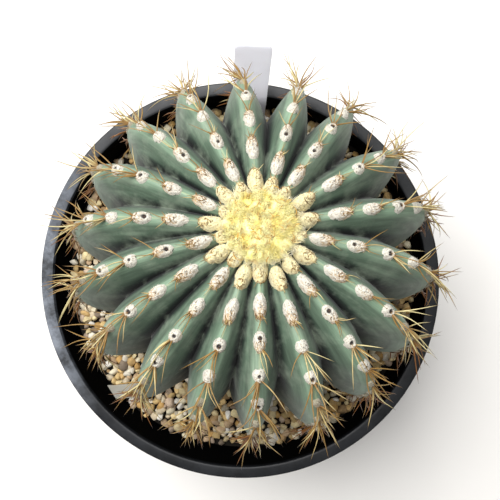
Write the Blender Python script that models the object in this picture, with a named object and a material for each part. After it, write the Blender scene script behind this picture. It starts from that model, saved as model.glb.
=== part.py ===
"""Barrel cactus in a black nursery pot of gravel, with two bare plant labels.

World frame, in metres: the origin is at the centre of the pot's flat base, +Z is up, and
the plant leans towards +Y with a little +X. All sizes below are in millimetres and are
turned into metres where meshes are made.
"""
import math
import random
from dataclasses import dataclass

import bmesh
import bpy
from mathutils import Matrix, Vector, geometry, noise

MM = 0.001
GAP = 0.3

# Pot: a turned plastic shell. Radii are outer ones unless the name says otherwise.
POT_HEIGHT = 145.0
POT_RIM_RADIUS = 92.0
POT_LIP_WIDTH = 5.2
POT_BEVEL = 1.0
POT_COLLAR_DEPTH = 17.0
POT_COLLAR_STEP = 3.0
POT_BASE_RADIUS = 69.0
POT_WALL = 2.0
POT_FLOOR = 3.0
POT_FLOOR_FILLET = 3.0
POT_FOOT_FILLET = 4.0
POT_COLLAR_FLARE = 1.6
POT_COLLAR_EDGE = 1.0
POT_LIP_EDGE = 0.7
POT_SIDES = 60
DRAIN_COUNT = 6
DRAIN_RADIUS = 5.0
DRAIN_CIRCLE = 46.0
DRAIN_SIDES = 14

# Growing medium: gravel, flush 15 mm below the rim.
SOIL_LEVEL = 130.0
GRAIN_PITCH = 8.6
GRAIN_RISE = 2.0
GRAIN_DIP = -0.75
GRAIN_SHIFT = 1.4
GRAIN_MARGIN = 0.6
GRAIN_SEED = 11

# Plant: crest profile round its own axis, measured from the middle of its widest level.
PLANT_CENTRE = Vector((10.0, 18.0, 185.0))
LEAN = math.radians(21.5)
LEAN_HEADING = math.radians(69.0)
EQUATOR_RADIUS = 70.0
CROWN_HEIGHT = 43.5
CROWN_POWER = 3.0
FOOT_DEPTH = 62.0
FOOT_POWER = 2.3
FOOT_LEVEL = -55.5
NECK_RADIUS = 33.0
NECK_DEPTH = 18.0
NECK_SIDES = 36

# Ribs: heading of each crest in degrees, and where its first areole sits, as an arc length
# from the middle of the crown. Furrow depths are shares of the crest's radius. The furrows
# start over FURROW_START, deepen over FURROW_DEEPENING, fade from FURROW_END down to the
# foot, and are deeper on the +X side by the share FURROW_SIDE.
RIBS = (
    (12.0, 17.0), (33.5, 19.0), (56.0, 24.0), (75.0, 25.5), (95.0, 18.0), (115.5, 24.0),
    (136.0, 27.0), (155.5, 22.0), (175.0, 17.5), (194.5, 22.5), (213.0, 18.0), (232.5, 23.5),
    (251.5, 19.0), (270.0, 15.5), (289.5, 19.5), (309.0, 26.5), (329.0, 18.5), (350.5, 22.5),
)
FURROW_RATIO = 0.215
FURROW_GROWTH = 0.07
FURROW_SIDE = 0.14
FURROW_START = (6.0, 22.0)
FURROW_DEEPENING = (40.0, 90.0)
FURROW_END = 98.0
CREST_ROUNDING = 0.35
NORMAL_REACH = 1.5
RIB_COLUMNS = (-0.6, -0.2, 0.2, 0.6, 1.0)
RIB_RINGS = (8.0, 14.0, 22.0, 33.0, 45.0, 56.0, 66.0, 76.0, 87.0, 99.0, 112.0, 128.0, 145.0, 162.0)

# Areoles: up to each arc length, half length, half width and rise. They are long near the
# crown and round below. The pads are drawn AREOLE_SPREAD wider, because they are sunk in.
LAST_AREOLE_ARC = 84.0
AREOLE_FIRST_STEP = 12.9
AREOLE_STEP_LOSS = 0.6
AREOLE_SIZES = (
    (18.5, 3.4, 2.7, 1.7),
    (31.0, 4.9, 3.0, 1.9),
    (46.0, 3.6, 2.9, 1.7),
    (999.0, 2.6, 2.4, 1.5),
)
AREOLE_SPREAD = 1.12
AREOLE_HEIGHT = 1.5
AREOLE_SINK = 0.4

# Spines: fewer and stouter than real ones. Angles are in degrees: a fan spreads across the
# rib, and the rise is the angle off the skin.
SPINE_START_ARC = 40.0
SPINE_GROWN_ARCS = (32.0, 66.0)
SPINE_FULL_ARCS = (52.0, 72.0)
SPINE_FULL_FAN = (-62.0, 4.0, 58.0)
SPINE_FAN = (-44.0, 40.0)
SPINE_SPREAD = 13.0
SPINE_RISE = (18.0, 44.0)
SPINE_RISE_STEP = 9.0
SPINE_TRIES = 4
SPINE_SHORTEST = 9.0
SPINE_GROWTH = 14.0
SPINE_LENGTH_SPREAD = (0.85, 1.1)
SPINE_CURL = (0.04, 0.16)
SPINE_RADIUS = 0.55
SPINE_TAPER = 0.25
SPINE_ROOT = 2.2
SPINE_ELBOW = 0.52
SPINE_SEED = 5

# Least distances from a spine to the gravel, the pot and the two labels.
SOIL_CLEARANCE = 4.5
POT_CLEARANCE = 1.5
STAKE_CLEARANCE = 2.5
SCRAP_CLEARANCE = 2.0

# Crown felt.
WOOL_EDGE = 13.8
WOOL_RISE = 4.2
WOOL_LIP = 1.0
WOOL_TUFT = 0.9
WOOL_PORTIONS = (0.3, 0.55, 0.78, 0.94, 1.0)
WOOL_MARGIN = 0.7

# Labels: blank white plastic tags.
STAKE_WIDTH = 15.0
STAKE_THICKNESS = 0.8
STAKE_ENTRY = Vector((4.1, 76.4, 130.0))
STAKE_RUN = Vector((5.1, 18.9, 44.0))
STAKE_ABOVE = 64.0
STAKE_BELOW = 38.0
STAKE_CORNER = 2.5
STAKE_POINT = (1.5, 12.0)
SCRAP_SIZE = (20.0, 6.6, 1.0)
SCRAP_SLANT = 3.6
SCRAP_CENTRE = Vector((-54.0, -54.2, 133.0))
SCRAP_TURN = math.radians(-177.0)
SCRAP_PITCH = math.radians(-4.0)

SKIN_GREEN = (0.24, 0.36, 0.29, 1.0)
FELT_YELLOW = (0.80, 0.66, 0.32, 1.0)
POT_BLACK = (0.030, 0.031, 0.035, 1.0)
GRAVEL_TAN = (0.55, 0.44, 0.31, 1.0)
LABEL_WHITE = (0.83, 0.83, 0.86, 1.0)


def clear_scene() -> None:
    """Remove every object of the scene the script starts in."""
    for item in list(bpy.data.objects):
        bpy.data.objects.remove(item, do_unlink=True)


def make_material(name: str, colour: tuple, roughness: float) -> bpy.types.Material:
    """Make a plain non-metallic surface."""
    material = bpy.data.materials.new(name)
    material.use_nodes = True
    surface = material.node_tree.nodes["Principled BSDF"]
    surface.inputs["Base Color"].default_value = colour
    surface.inputs["Roughness"].default_value = roughness
    surface.inputs["Metallic"].default_value = 0.0
    return material


def add_object(name: str, bm: bmesh.types.BMesh, material=None, sharp_above: float = 40.0):
    """Turn a bmesh in millimetres into an object in metres, shaded smooth with sharp edges."""
    bmesh.ops.recalc_face_normals(bm, faces=bm.faces)
    if bm.calc_volume(signed=True) < 0.0:
        bmesh.ops.reverse_faces(bm, faces=bm.faces)
    bmesh.ops.scale(bm, vec=(MM, MM, MM), verts=bm.verts)
    mesh = bpy.data.meshes.new(name)
    bm.to_mesh(mesh)
    bm.free()
    mesh.shade_smooth()
    mesh.set_sharp_from_angle(angle=math.radians(sharp_above))
    item = bpy.data.objects.new(name, mesh)
    bpy.context.scene.collection.objects.link(item)
    if material is not None:
        mesh.materials.append(material)
    return item


def apply_modifiers(item) -> None:
    """Bake an object's modifiers into its mesh."""
    baked = bpy.data.meshes.new_from_object(item.evaluated_get(bpy.context.evaluated_depsgraph_get()))
    item.modifiers.clear()
    item.data = baked


def subtract(item, cutter) -> None:
    """Cut one object by another and remove the cutter."""
    cutter.hide_render = True
    cutter.display_type = "WIRE"
    cut = item.modifiers.new("cut", "BOOLEAN")
    cut.operation = "DIFFERENCE"
    cut.object = cutter
    apply_modifiers(item)
    bpy.data.objects.remove(cutter, do_unlink=True)


def smoothstep(low: float, high: float, value: float) -> float:
    """Return 0 below low, 1 above high and an S-shaped blend between them."""
    t = min(1.0, max(0.0, (value - low) / (high - low)))
    return t * t * (3.0 - 2.0 * t)


def ring(radius: float, height: float, count: int, centre=(0.0, 0.0)) -> list:
    """Return points evenly round a level circle."""
    x, y = centre[0], centre[1]
    steps = (2.0 * math.pi * k / count for k in range(count))
    return [Vector((x + radius * math.cos(a), y + radius * math.sin(a), height)) for a in steps]


def bridge(bm, lower: list, upper: list) -> None:
    """Join two closed loops of equal length with quads."""
    count = len(lower)
    for k in range(count):
        bm.faces.new((lower[k], lower[(k + 1) % count], upper[(k + 1) % count], upper[k]))


def pot_inner_radius(height: float) -> float:
    """Return the pot's inner wall radius at a height above the floor."""
    top = POT_RIM_RADIUS - POT_LIP_WIDTH - POT_BEVEL
    base = POT_BASE_RADIUS - POT_WALL
    return base + (top - base) * (height - POT_FLOOR) / (POT_HEIGHT - POT_BEVEL - POT_FLOOR)


def build_pot(material) -> None:
    """Turn the pot's shell and drill its drain holes."""
    collar_base = POT_HEIGHT - POT_COLLAR_DEPTH
    wall_top = POT_RIM_RADIUS - POT_COLLAR_STEP
    profile = (
        (POT_BASE_RADIUS - POT_FOOT_FILLET, 0.0),
        (POT_BASE_RADIUS - 0.3 * POT_FOOT_FILLET, 0.25 * POT_FOOT_FILLET),
        (POT_BASE_RADIUS, POT_FOOT_FILLET),
        (wall_top - POT_COLLAR_FLARE, collar_base - POT_COLLAR_FLARE),
        (POT_RIM_RADIUS - POT_COLLAR_FLARE, collar_base),
        (POT_RIM_RADIUS - POT_COLLAR_EDGE, collar_base + POT_COLLAR_EDGE),
        (POT_RIM_RADIUS, POT_HEIGHT - POT_LIP_EDGE),
        (POT_RIM_RADIUS - POT_LIP_EDGE, POT_HEIGHT),
        (POT_RIM_RADIUS - POT_LIP_WIDTH, POT_HEIGHT),
        (POT_RIM_RADIUS - POT_LIP_WIDTH - POT_BEVEL, POT_HEIGHT - POT_BEVEL),
        (pot_inner_radius(POT_FLOOR + POT_FLOOR_FILLET), POT_FLOOR + POT_FLOOR_FILLET),
        (pot_inner_radius(POT_FLOOR) - POT_FLOOR_FILLET, POT_FLOOR),
    )
    bm = bmesh.new()
    loops = [[bm.verts.new(p) for p in ring(r, z, POT_SIDES)] for r, z in profile]
    for lower, upper in zip(loops, loops[1:]):
        bridge(bm, lower, upper)
    bm.faces.new(reversed(loops[0]))
    bm.faces.new(loops[-1])
    pot = add_object("pot", bm, material, 30.0)
    for k in range(DRAIN_COUNT):
        turn = 2.0 * math.pi * (k + 0.5) / DRAIN_COUNT
        middle = Matrix.Translation((DRAIN_CIRCLE * math.cos(turn), DRAIN_CIRCLE * math.sin(turn), 0.0))
        drill = bmesh.new()
        bmesh.ops.create_cone(drill, cap_ends=True, segments=DRAIN_SIDES, radius1=DRAIN_RADIUS,
                              radius2=DRAIN_RADIUS, depth=4.0 * POT_FLOOR, matrix=middle)
        subtract(pot, add_object("drill", drill))


@dataclass(frozen=True)
class CrestPoint:
    """A point on a rib's crest in the plant's own profile plane."""

    radius: float
    level: float
    out_radius: float
    out_level: float


class PlantForm:
    """Surface of the plant as a function of heading and arc length from the crown."""

    def __init__(self) -> None:
        samples = 600
        points = []
        for k in range(samples + 1):
            turn = 0.5 * math.pi * k / samples
            radius = EQUATOR_RADIUS * math.sin(turn) ** (2.0 / CROWN_POWER)
            level = CROWN_HEIGHT * math.cos(turn) ** (2.0 / CROWN_POWER)
            points.append((radius, level))
        for k in range(1, samples + 1):
            level = FOOT_LEVEL * k / samples
            radius = EQUATOR_RADIUS * (1.0 - (-level / FOOT_DEPTH) ** FOOT_POWER) ** (1.0 / FOOT_POWER)
            points.append((radius, level))
        self.arcs = [0.0]
        for first, second in zip(points, points[1:]):
            self.arcs.append(self.arcs[-1] + math.dist(first, second))
        self.points = points
        self.length = self.arcs[-1]
        crests = [math.radians(heading) for heading, _ in RIBS]
        self.crests = crests
        self.gaps = [(after - here) % (2.0 * math.pi) for here, after in zip(crests, crests[1:] + crests[:1])]

    def profile(self, arc: float) -> tuple:
        """Return radius and level at an arc length."""
        arc = min(max(arc, 0.0), self.length)
        low, high = 0, len(self.arcs) - 1
        while high - low > 1:
            middle = (low + high) // 2
            if self.arcs[middle] <= arc:
                low = middle
            else:
                high = middle
        share = (arc - self.arcs[low]) / (self.arcs[high] - self.arcs[low])
        a, b = self.points[low], self.points[high]
        return a[0] + share * (b[0] - a[0]), a[1] + share * (b[1] - a[1])

    def crest(self, arc: float) -> CrestPoint:
        """Return the crest point at an arc length, with its outward direction."""
        radius, level = self.profile(arc)
        before = self.profile(arc - NORMAL_REACH)
        after = self.profile(arc + NORMAL_REACH)
        run = Vector((after[0] - before[0], after[1] - before[1])).normalized()
        return CrestPoint(radius, level, -run.y, run.x)

    def depth(self, arc: float, turn: float) -> float:
        """Return how deep the furrows are below the crests, at an arc length and a heading."""
        share = FURROW_RATIO + FURROW_GROWTH * smoothstep(*FURROW_DEEPENING, arc)
        share *= 1.0 + FURROW_SIDE * math.cos(turn)
        share *= smoothstep(*FURROW_START, arc) * (1.0 - smoothstep(FURROW_END, self.length, arc))
        return share * self.profile(arc)[0]

    def heading(self, rib: int, share: float) -> float:
        """Return the heading at a signed share of the way from a crest to its furrow."""
        gap = self.gaps[rib] if share > 0.0 else self.gaps[rib - 1]
        return self.crests[rib] + 0.5 * gap * share

    def surface(self, rib: int, share: float, arc: float, lift: float = 0.0) -> Vector:
        """Return a world point on a rib, lifted off the surface along its crest's normal."""
        crest = self.crest(arc)
        turn = self.heading(rib, share)
        drop = math.hypot(share, CREST_ROUNDING) - CREST_ROUNDING
        drop /= math.hypot(1.0, CREST_ROUNDING) - CREST_ROUNDING
        offset = lift - self.depth(arc, turn) * drop
        radius = crest.radius + offset * crest.out_radius
        level = crest.level + offset * crest.out_level
        return self.place(Vector((radius * math.cos(turn), radius * math.sin(turn), level)))

    @staticmethod
    def place(local: Vector) -> Vector:
        """Move a point from the plant's frame to the world.

        Above the widest level the plant leans as one piece. Below it the axis bends
        back, so that the foot stands level in the gravel.
        """
        away = Vector((math.cos(LEAN_HEADING), math.sin(LEAN_HEADING), 0.0))
        hinge = Vector((-away.y, away.x, 0.0))
        if local.z >= 0.0:
            return PLANT_CENTRE + Matrix.Rotation(LEAN, 3, hinge) @ local
        span = -FOOT_LEVEL
        lean = LEAN * (1.0 + local.z / span)
        back = span / LEAN * (math.cos(lean) - math.cos(LEAN))
        down = span / LEAN * (math.sin(LEAN) - math.sin(lean))
        middle = PLANT_CENTRE - back * away - Vector((0.0, 0.0, down))
        return middle + Matrix.Rotation(lean, 3, hinge) @ Vector((local.x, local.y, 0.0))

    def frame(self, rib: int, arc: float) -> Matrix:
        """Return axes on a crest: X down the rib, Y across it, Z out of the skin."""
        origin = self.surface(rib, 0.0, arc)
        down = (self.surface(rib, 0.0, arc + 1.0) - self.surface(rib, 0.0, arc - 1.0)).normalized()
        out = (self.surface(rib, 0.0, arc, 1.0) - origin).normalized()
        across = out.cross(down).normalized()
        out = down.cross(across)
        axes = Matrix((down, across, out)).transposed().to_4x4()
        axes.translation = origin
        return axes

    def foot_centre(self) -> Vector:
        """Return the middle of the plant's foot, at the gravel's level."""
        return self.place(Vector((0.0, 0.0, FOOT_LEVEL)))


def areole_arcs(rib: int) -> list:
    """Return the arc length of each areole on a rib, from the crown down."""
    arcs = [RIBS[rib][1]]
    while True:
        arc = arcs[-1] + AREOLE_FIRST_STEP - AREOLE_STEP_LOSS * (len(arcs) - 1)
        if arc > LAST_AREOLE_ARC:
            return arcs
        arcs.append(arc)


def areole_half_size(arc: float) -> tuple:
    """Return the half length, half width and rise of an areole at an arc length."""
    return next(sizes for last_arc, *sizes in AREOLE_SIZES if arc < last_arc)


def add_areole(form: PlantForm, rib: int, arc: float, collection) -> None:
    """Add one felt pad, sunk into the crest."""
    length, width, rise = areole_half_size(arc)
    bm = bmesh.new()
    bmesh.ops.create_icosphere(bm, subdivisions=1, radius=1.0)
    shape = Matrix.Diagonal((length * AREOLE_SPREAD, width * AREOLE_SPREAD, rise * AREOLE_HEIGHT, 1.0))
    bm.transform(form.frame(rib, arc) @ Matrix.Translation((0.0, 0.0, -AREOLE_SINK * rise)) @ shape)
    move_to(collection, add_object("areole", bm))


def move_to(collection, item) -> None:
    """Link an object to one collection only."""
    for owner in list(item.users_collection):
        owner.objects.unlink(item)
    collection.objects.link(item)


def spine_path(axes: Matrix, length: float, spread: float, rise: float, curl: float,
               half_length: float) -> list:
    """Return root, middle and tip of a spine that starts at an areole's outward end."""
    aim = Vector((math.cos(spread) * math.cos(rise), math.sin(spread) * math.cos(rise), math.sin(rise)))
    root = Vector((0.55 * half_length, 0.25 * half_length * math.sin(spread), 0.2))
    bend = Vector((0.25, 0.0, -1.0)) * curl
    local = [
        root - aim * SPINE_ROOT,
        root + aim * SPINE_ELBOW * length,
        root + aim * length + bend * length,
    ]
    return [axes @ point for point in local]


def is_clear(path: list) -> bool:
    """Tell whether a spine stays clear of the pot, the gravel and the labels."""
    for first, second in zip(path, path[1:]):
        for step in range(9):
            point = first.lerp(second, step / 8.0)
            reach = math.hypot(point.x, point.y)
            if point.z < SOIL_LEVEL + SOIL_CLEARANCE:
                return False
            if point.z < POT_HEIGHT + POT_CLEARANCE and reach > pot_inner_radius(point.z) - POT_CLEARANCE:
                return False
            if near_stake(point) or near_scrap(point):
                return False
    return True


def near_stake(point: Vector) -> bool:
    """Tell whether a point is too near the standing label."""
    local = stake_axes().inverted() @ point
    beside = abs(local.x) > STAKE_WIDTH / 2.0 + STAKE_CLEARANCE
    in_front = abs(local.y) > STAKE_THICKNESS / 2.0 + STAKE_CLEARANCE
    return not beside and not in_front and local.z < STAKE_ABOVE + STAKE_CLEARANCE


def near_scrap(point: Vector) -> bool:
    """Tell whether a point is too near the lying label."""
    local = scrap_axes().inverted() @ point
    length, width, thickness = SCRAP_SIZE
    halves = (length / 2.0, width / 2.0, thickness / 2.0)
    return all(abs(along) < half + SCRAP_CLEARANCE for along, half in zip(local, halves))


def add_spine(path: list, collection) -> None:
    """Add one three-sided spine that tapers from its root to its tip."""
    bm = bmesh.new()
    loops = []
    side = (path[1] - path[0]).orthogonal()
    for k in range(2):
        run = (path[k + 1] - path[k]).normalized()
        side = (side - run * side.dot(run)).normalized()
        other = run.cross(side)
        radius = SPINE_RADIUS * (1.0 - SPINE_TAPER * k)
        corners = []
        for corner in range(3):
            turn = 2.0 * math.pi * corner / 3.0
            offset = side * math.cos(turn) + other * math.sin(turn)
            corners.append(bm.verts.new(path[k] + offset * radius))
        loops.append(corners)
    tip = bm.verts.new(path[2])
    bridge(bm, loops[0], loops[1])
    bm.faces.new(reversed(loops[0]))
    for k in range(3):
        bm.faces.new((loops[1][k], loops[1][(k + 1) % 3], tip))
    move_to(collection, add_object("spine", bm))


def add_spines(form: PlantForm, rib: int, arc: float, draw: random.Random, collection) -> None:
    """Add an areole's spines: a fan that opens outwards and stands off the skin."""
    if arc < SPINE_START_ARC:
        return
    grown = smoothstep(*SPINE_GROWN_ARCS, arc)
    half_length = areole_half_size(arc)[0]
    axes = form.frame(rib, arc)
    is_full = SPINE_FULL_ARCS[0] < arc < SPINE_FULL_ARCS[1]
    for spread in SPINE_FULL_FAN if is_full else SPINE_FAN:
        for attempt in range(SPINE_TRIES):
            length = (SPINE_SHORTEST + SPINE_GROWTH * grown) * draw.uniform(*SPINE_LENGTH_SPREAD)
            angle = math.radians(spread + draw.uniform(-SPINE_SPREAD, SPINE_SPREAD))
            rise = math.radians(draw.uniform(*SPINE_RISE) + SPINE_RISE_STEP * attempt)
            path = spine_path(axes, length, angle, rise, draw.uniform(*SPINE_CURL), half_length)
            if is_clear(path):
                add_spine(path, collection)
                break


def build_body_shell(form: PlantForm, material):
    """Build the ribbed skin with its round neck that stands in the gravel."""
    bm = bmesh.new()
    columns = [(rib, share) for rib in range(len(RIBS)) for share in RIB_COLUMNS]
    loops = []
    for arc in RIB_RINGS:
        loops.append([bm.verts.new(form.surface(rib, share, arc)) for rib, share in columns])
    foot = form.foot_centre()
    for height in (SOIL_LEVEL - 1.0, SOIL_LEVEL - NECK_DEPTH):
        loop = []
        for rib, share in columns:
            turn = form.heading(rib, share)
            loop.append(bm.verts.new((foot.x + NECK_RADIUS * math.cos(turn),
                                      foot.y + NECK_RADIUS * math.sin(turn), height)))
        loops.append(loop)
    for upper, lower in zip(loops, loops[1:]):
        bridge(bm, lower, upper)
    crown = bm.verts.new(form.place(Vector((0.0, 0.0, form.profile(0.0)[1]))))
    count = len(columns)
    for k in range(count):
        bm.faces.new((loops[0][k], loops[0][(k + 1) % count], crown))
    bm.faces.new(reversed(loops[-1]))
    return add_object("cactus_body", bm, material, 60.0)


def build_body(form: PlantForm, material) -> None:
    """Build the plant in one piece: skin, areoles and spines."""
    body = build_body_shell(form, material)
    repeats = bpy.data.collections.new("repeats")
    bpy.context.scene.collection.children.link(repeats)
    draw = random.Random(SPINE_SEED)
    for rib in range(len(RIBS)):
        for arc in areole_arcs(rib):
            add_areole(form, rib, arc, repeats)
            add_spines(form, rib, arc, draw, repeats)
    union = body.modifiers.new("union", "BOOLEAN")
    union.operation = "UNION"
    union.operand_type = "COLLECTION"
    union.collection = repeats
    apply_modifiers(body)
    for item in list(repeats.objects):
        bpy.data.objects.remove(item, do_unlink=True)
    bpy.data.collections.remove(repeats)


def wool_edge(form: PlantForm, rib: int, share: float) -> float:
    """Return the felt's reach, drawn in where a rib's first areole starts early."""
    first = RIBS[rib][1]
    on_crest = min(WOOL_EDGE, first - areole_half_size(first)[0] * AREOLE_SPREAD - WOOL_MARGIN)
    return on_crest + (WOOL_EDGE - on_crest) * smoothstep(0.35, 1.0, abs(share))


def build_wool(form: PlantForm, material) -> None:
    """Build the crown's felt: a tufted dome that lies on the skin."""
    bm = bmesh.new()
    columns = [(rib, share) for rib in range(len(RIBS)) for share in (0.0, 1.0)]
    top_loops = []
    for portion in WOOL_PORTIONS:
        loop = []
        for rib, share in columns:
            arc = portion * wool_edge(form, rib, share)
            tuft = WOOL_TUFT * noise.noise(Vector((arc * 0.5, form.heading(rib, share) * 2.2, 3.0)))
            lift = GAP + WOOL_LIP + (WOOL_RISE + tuft) * math.sqrt(max(0.0, 1.0 - portion ** 2))
            loop.append(bm.verts.new(form.surface(rib, share * portion, arc, lift)))
        top_loops.append(loop)
    under = []
    for portion in (1.0, 0.5):
        loop = []
        for rib, share in columns:
            arc = portion * wool_edge(form, rib, share)
            loop.append(bm.verts.new(felt_underside(form, rib, share, arc)))
        under.append(loop)
    for inner, outer in zip(top_loops, top_loops[1:]):
        bridge(bm, outer, inner)
    bridge(bm, under[0], top_loops[-1])
    bridge(bm, under[1], under[0])
    level = form.profile(0.0)[1]
    peak = bm.verts.new(form.place(Vector((0.0, 0.0, level + GAP + WOOL_LIP + WOOL_RISE))))
    base = bm.verts.new(form.place(Vector((0.0, 0.0, level + GAP))))
    count = len(columns)
    for k in range(count):
        bm.faces.new((top_loops[0][k], top_loops[0][(k + 1) % count], peak))
        bm.faces.new((under[1][(k + 1) % count], under[1][k], base))
    add_object("crown_wool", bm, material, 180.0)


def felt_underside(form: PlantForm, rib: int, share: float, arc: float) -> Vector:
    """Return a point on the felt's underside, one gap above the unfurrowed skin."""
    crest = form.crest(arc)
    turn = form.heading(rib, share)
    radius = crest.radius + 1.3 * GAP * crest.out_radius
    level = crest.level + 1.3 * GAP * crest.out_level
    return form.place(Vector((radius * math.cos(turn), radius * math.sin(turn), level)))


def grain_sites(form: PlantForm, edge: float) -> list:
    """Return the middles of the gravel's grains, a jittered triangular lattice."""
    draw = random.Random(GRAIN_SEED)
    foot = form.foot_centre()
    margin = GRAIN_MARGIN * GRAIN_PITCH
    row_pitch = math.sqrt(0.75) * GRAIN_PITCH
    rows = int(edge / row_pitch) + 1
    sites = []
    for row in range(-rows, rows + 1):
        for column in range(-rows - 2, rows + 3):
            x = (column + 0.5 * (row % 2)) * GRAIN_PITCH + draw.uniform(-GRAIN_SHIFT, GRAIN_SHIFT)
            y = row * row_pitch + draw.uniform(-GRAIN_SHIFT, GRAIN_SHIFT)
            inside = math.hypot(x, y) < edge - margin
            outside = math.hypot(x - foot.x, y - foot.y) > NECK_RADIUS + GAP + margin
            if inside and outside:
                sites.append((x, y, draw.uniform(0.5, 1.0)))
    return sites


def relief(x: float, y: float, height: float, foot: Vector) -> float:
    """Return the gravel's level, kept low under the plant and under the labels."""
    near_foot = math.hypot(x - foot.x, y - foot.y) - NECK_RADIUS
    calm = smoothstep(4.0, 16.0, near_foot)
    calm *= smoothstep(8.0, 16.0, math.hypot(x - STAKE_ENTRY.x, y - STAKE_ENTRY.y))
    calm *= smoothstep(8.0, 18.0, math.hypot(x - SCRAP_CENTRE.x, y - SCRAP_CENTRE.y))
    return SOIL_LEVEL - GRAIN_RISE + calm * (height + 1.0) * GRAIN_RISE


def add_grain_faces(bm, verts: list, corners: list, fringe: int, dips: dict, foot: Vector) -> None:
    """Split a triangle between three grains at its edges' dips, but not along the fringe."""
    loop = []
    for first, second in zip(corners, (corners[1], corners[2], corners[0])):
        loop.append((verts[first], True))
        if first < fringe and second < fringe:
            continue
        key = frozenset((first, second))
        if key not in dips:
            middle = (verts[first].co + verts[second].co) / 2.0
            level = relief(middle.x, middle.y, GRAIN_DIP, foot)
            dips[key] = bm.verts.new((middle.x, middle.y, level))
        loop.append((dips[key], False))
    count = len(loop)
    rest = []
    for k in range(count):
        before, here, after = loop[k - 1], loop[k], loop[(k + 1) % count]
        if here[1] and not before[1] and not after[1]:
            bm.faces.new((before[0], here[0], after[0]))
        else:
            rest.append(here[0])
    bm.faces.new(rest)


def build_soil(form: PlantForm, material) -> None:
    """Build the gravel fill with its grains, the plant's hole and the label's slot."""
    foot = form.foot_centre()
    edge = pot_inner_radius(SOIL_LEVEL - GRAIN_RISE) - GAP
    hole = NECK_RADIUS + GAP
    rim = [(p.x, p.y) for p in ring(edge, 0.0, POT_SIDES)]
    mouth = [(p.x, p.y) for p in ring(hole, 0.0, NECK_SIDES, foot)]
    sites = grain_sites(form, edge)
    plan = [Vector(p) for p in rim + mouth] + [Vector(site[:2]) for site in sites]
    mesh_points, _, triangles, *_ = geometry.delaunay_2d_cdt(plan, [], [], 0, 1e-5)
    bm = bmesh.new()
    fringe = len(rim) + len(mouth)
    verts = []
    for k, point in enumerate(mesh_points):
        height = sites[k - fringe][2] if k >= fringe else -1.0
        verts.append(bm.verts.new((point.x, point.y, relief(point.x, point.y, height, foot))))
    dips = {}
    for corners in triangles:
        middle = sum((mesh_points[c] for c in corners), Vector((0.0, 0.0))) / 3.0
        if math.hypot(middle.x - foot.x, middle.y - foot.y) > hole * math.cos(math.pi / NECK_SIDES):
            add_grain_faces(bm, verts, corners, fringe, dips, foot)
    low = POT_FLOOR + POT_FLOOR_FILLET
    side_radius = pot_inner_radius(low) - GAP
    base_radius = side_radius - POT_FLOOR_FILLET - GAP
    side = [bm.verts.new(p) for p in ring(side_radius, low, POT_SIDES)]
    base = [bm.verts.new(p) for p in ring(base_radius, POT_FLOOR + GAP, POT_SIDES)]
    pit = [bm.verts.new(p) for p in ring(hole, SOIL_LEVEL - NECK_DEPTH - GAP, NECK_SIDES, foot)]
    bridge(bm, side, verts[:len(rim)])
    bridge(bm, base, side)
    bm.faces.new(reversed(base))
    bridge(bm, verts[len(rim):len(rim) + len(mouth)], pit)
    bm.faces.new(pit)
    soil = add_object("soil", bm, material, 60.0)
    slot = bmesh.new()
    bmesh.ops.create_cube(slot, size=1.0)
    clear_above = 20.0
    size = (STAKE_WIDTH + 2.0 * GAP, STAKE_THICKNESS + 2.0 * GAP, STAKE_BELOW + GAP + clear_above)
    middle = Matrix.Translation((0.0, 0.0, (clear_above - STAKE_BELOW - GAP) / 2.0))
    slot.transform(stake_axes() @ middle @ Matrix.Diagonal((*size, 1.0)))
    subtract(soil, add_object("slot", slot))


def stake_axes() -> Matrix:
    """Return the standing label's axes: X across it, Y through it, Z up it."""
    up = STAKE_RUN.normalized()
    through = up.cross(Vector((1.0, 0.0, 0.0))).normalized()
    across = through.cross(up)
    axes = Matrix((across, through, up)).transposed().to_4x4()
    axes.translation = STAKE_ENTRY
    return axes


def scrap_axes() -> Matrix:
    """Return the lying label's axes."""
    turn = Matrix.Rotation(SCRAP_TURN, 4, "Z") @ Matrix.Rotation(SCRAP_PITCH, 4, "Y")
    return Matrix.Translation(SCRAP_CENTRE) @ turn


def add_plate(name: str, outline: list, thickness: float, axes: Matrix, material) -> None:
    """Extrude a flat outline, drawn in the XZ plane, to a plate."""
    bm = bmesh.new()
    face = bm.faces.new([bm.verts.new((x, -thickness / 2.0, z)) for x, z in outline])
    made = bmesh.ops.extrude_face_region(bm, geom=[face])
    moved = [v for v in made["geom"] if isinstance(v, bmesh.types.BMVert)]
    bmesh.ops.translate(bm, vec=(0.0, thickness, 0.0), verts=moved)
    bm.transform(axes)
    add_object(name, bm, material, 30.0)


def build_stake(material) -> None:
    """Build the standing label: rounded at the top, pointed in the gravel."""
    half = STAKE_WIDTH / 2.0
    blunt, taper = STAKE_POINT
    foot = -STAKE_BELOW
    outline = [(-half, foot + taper), (-blunt, foot), (blunt, foot), (half, foot + taper)]
    for side in (1.0, -1.0):
        for step in range(4):
            turn = math.radians(30.0 * step if side > 0.0 else 90.0 - 30.0 * step)
            x = side * (half - STAKE_CORNER + STAKE_CORNER * math.cos(turn))
            outline.append((x, STAKE_ABOVE - STAKE_CORNER + STAKE_CORNER * math.sin(turn)))
    add_plate("label_stake", outline, STAKE_THICKNESS, stake_axes(), material)


def build_scrap(material) -> None:
    """Build the lying label, whose outer end shows above the gravel."""
    length, width, thickness = SCRAP_SIZE
    x, z = length / 2.0, width / 2.0
    outline = [(-x, -z), (x - SCRAP_SLANT, -z), (x, z), (-x, z)]
    lie_flat = Matrix.Rotation(math.radians(90.0), 4, "X")
    add_plate("label_scrap", outline, thickness, scrap_axes() @ lie_flat, material)


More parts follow.
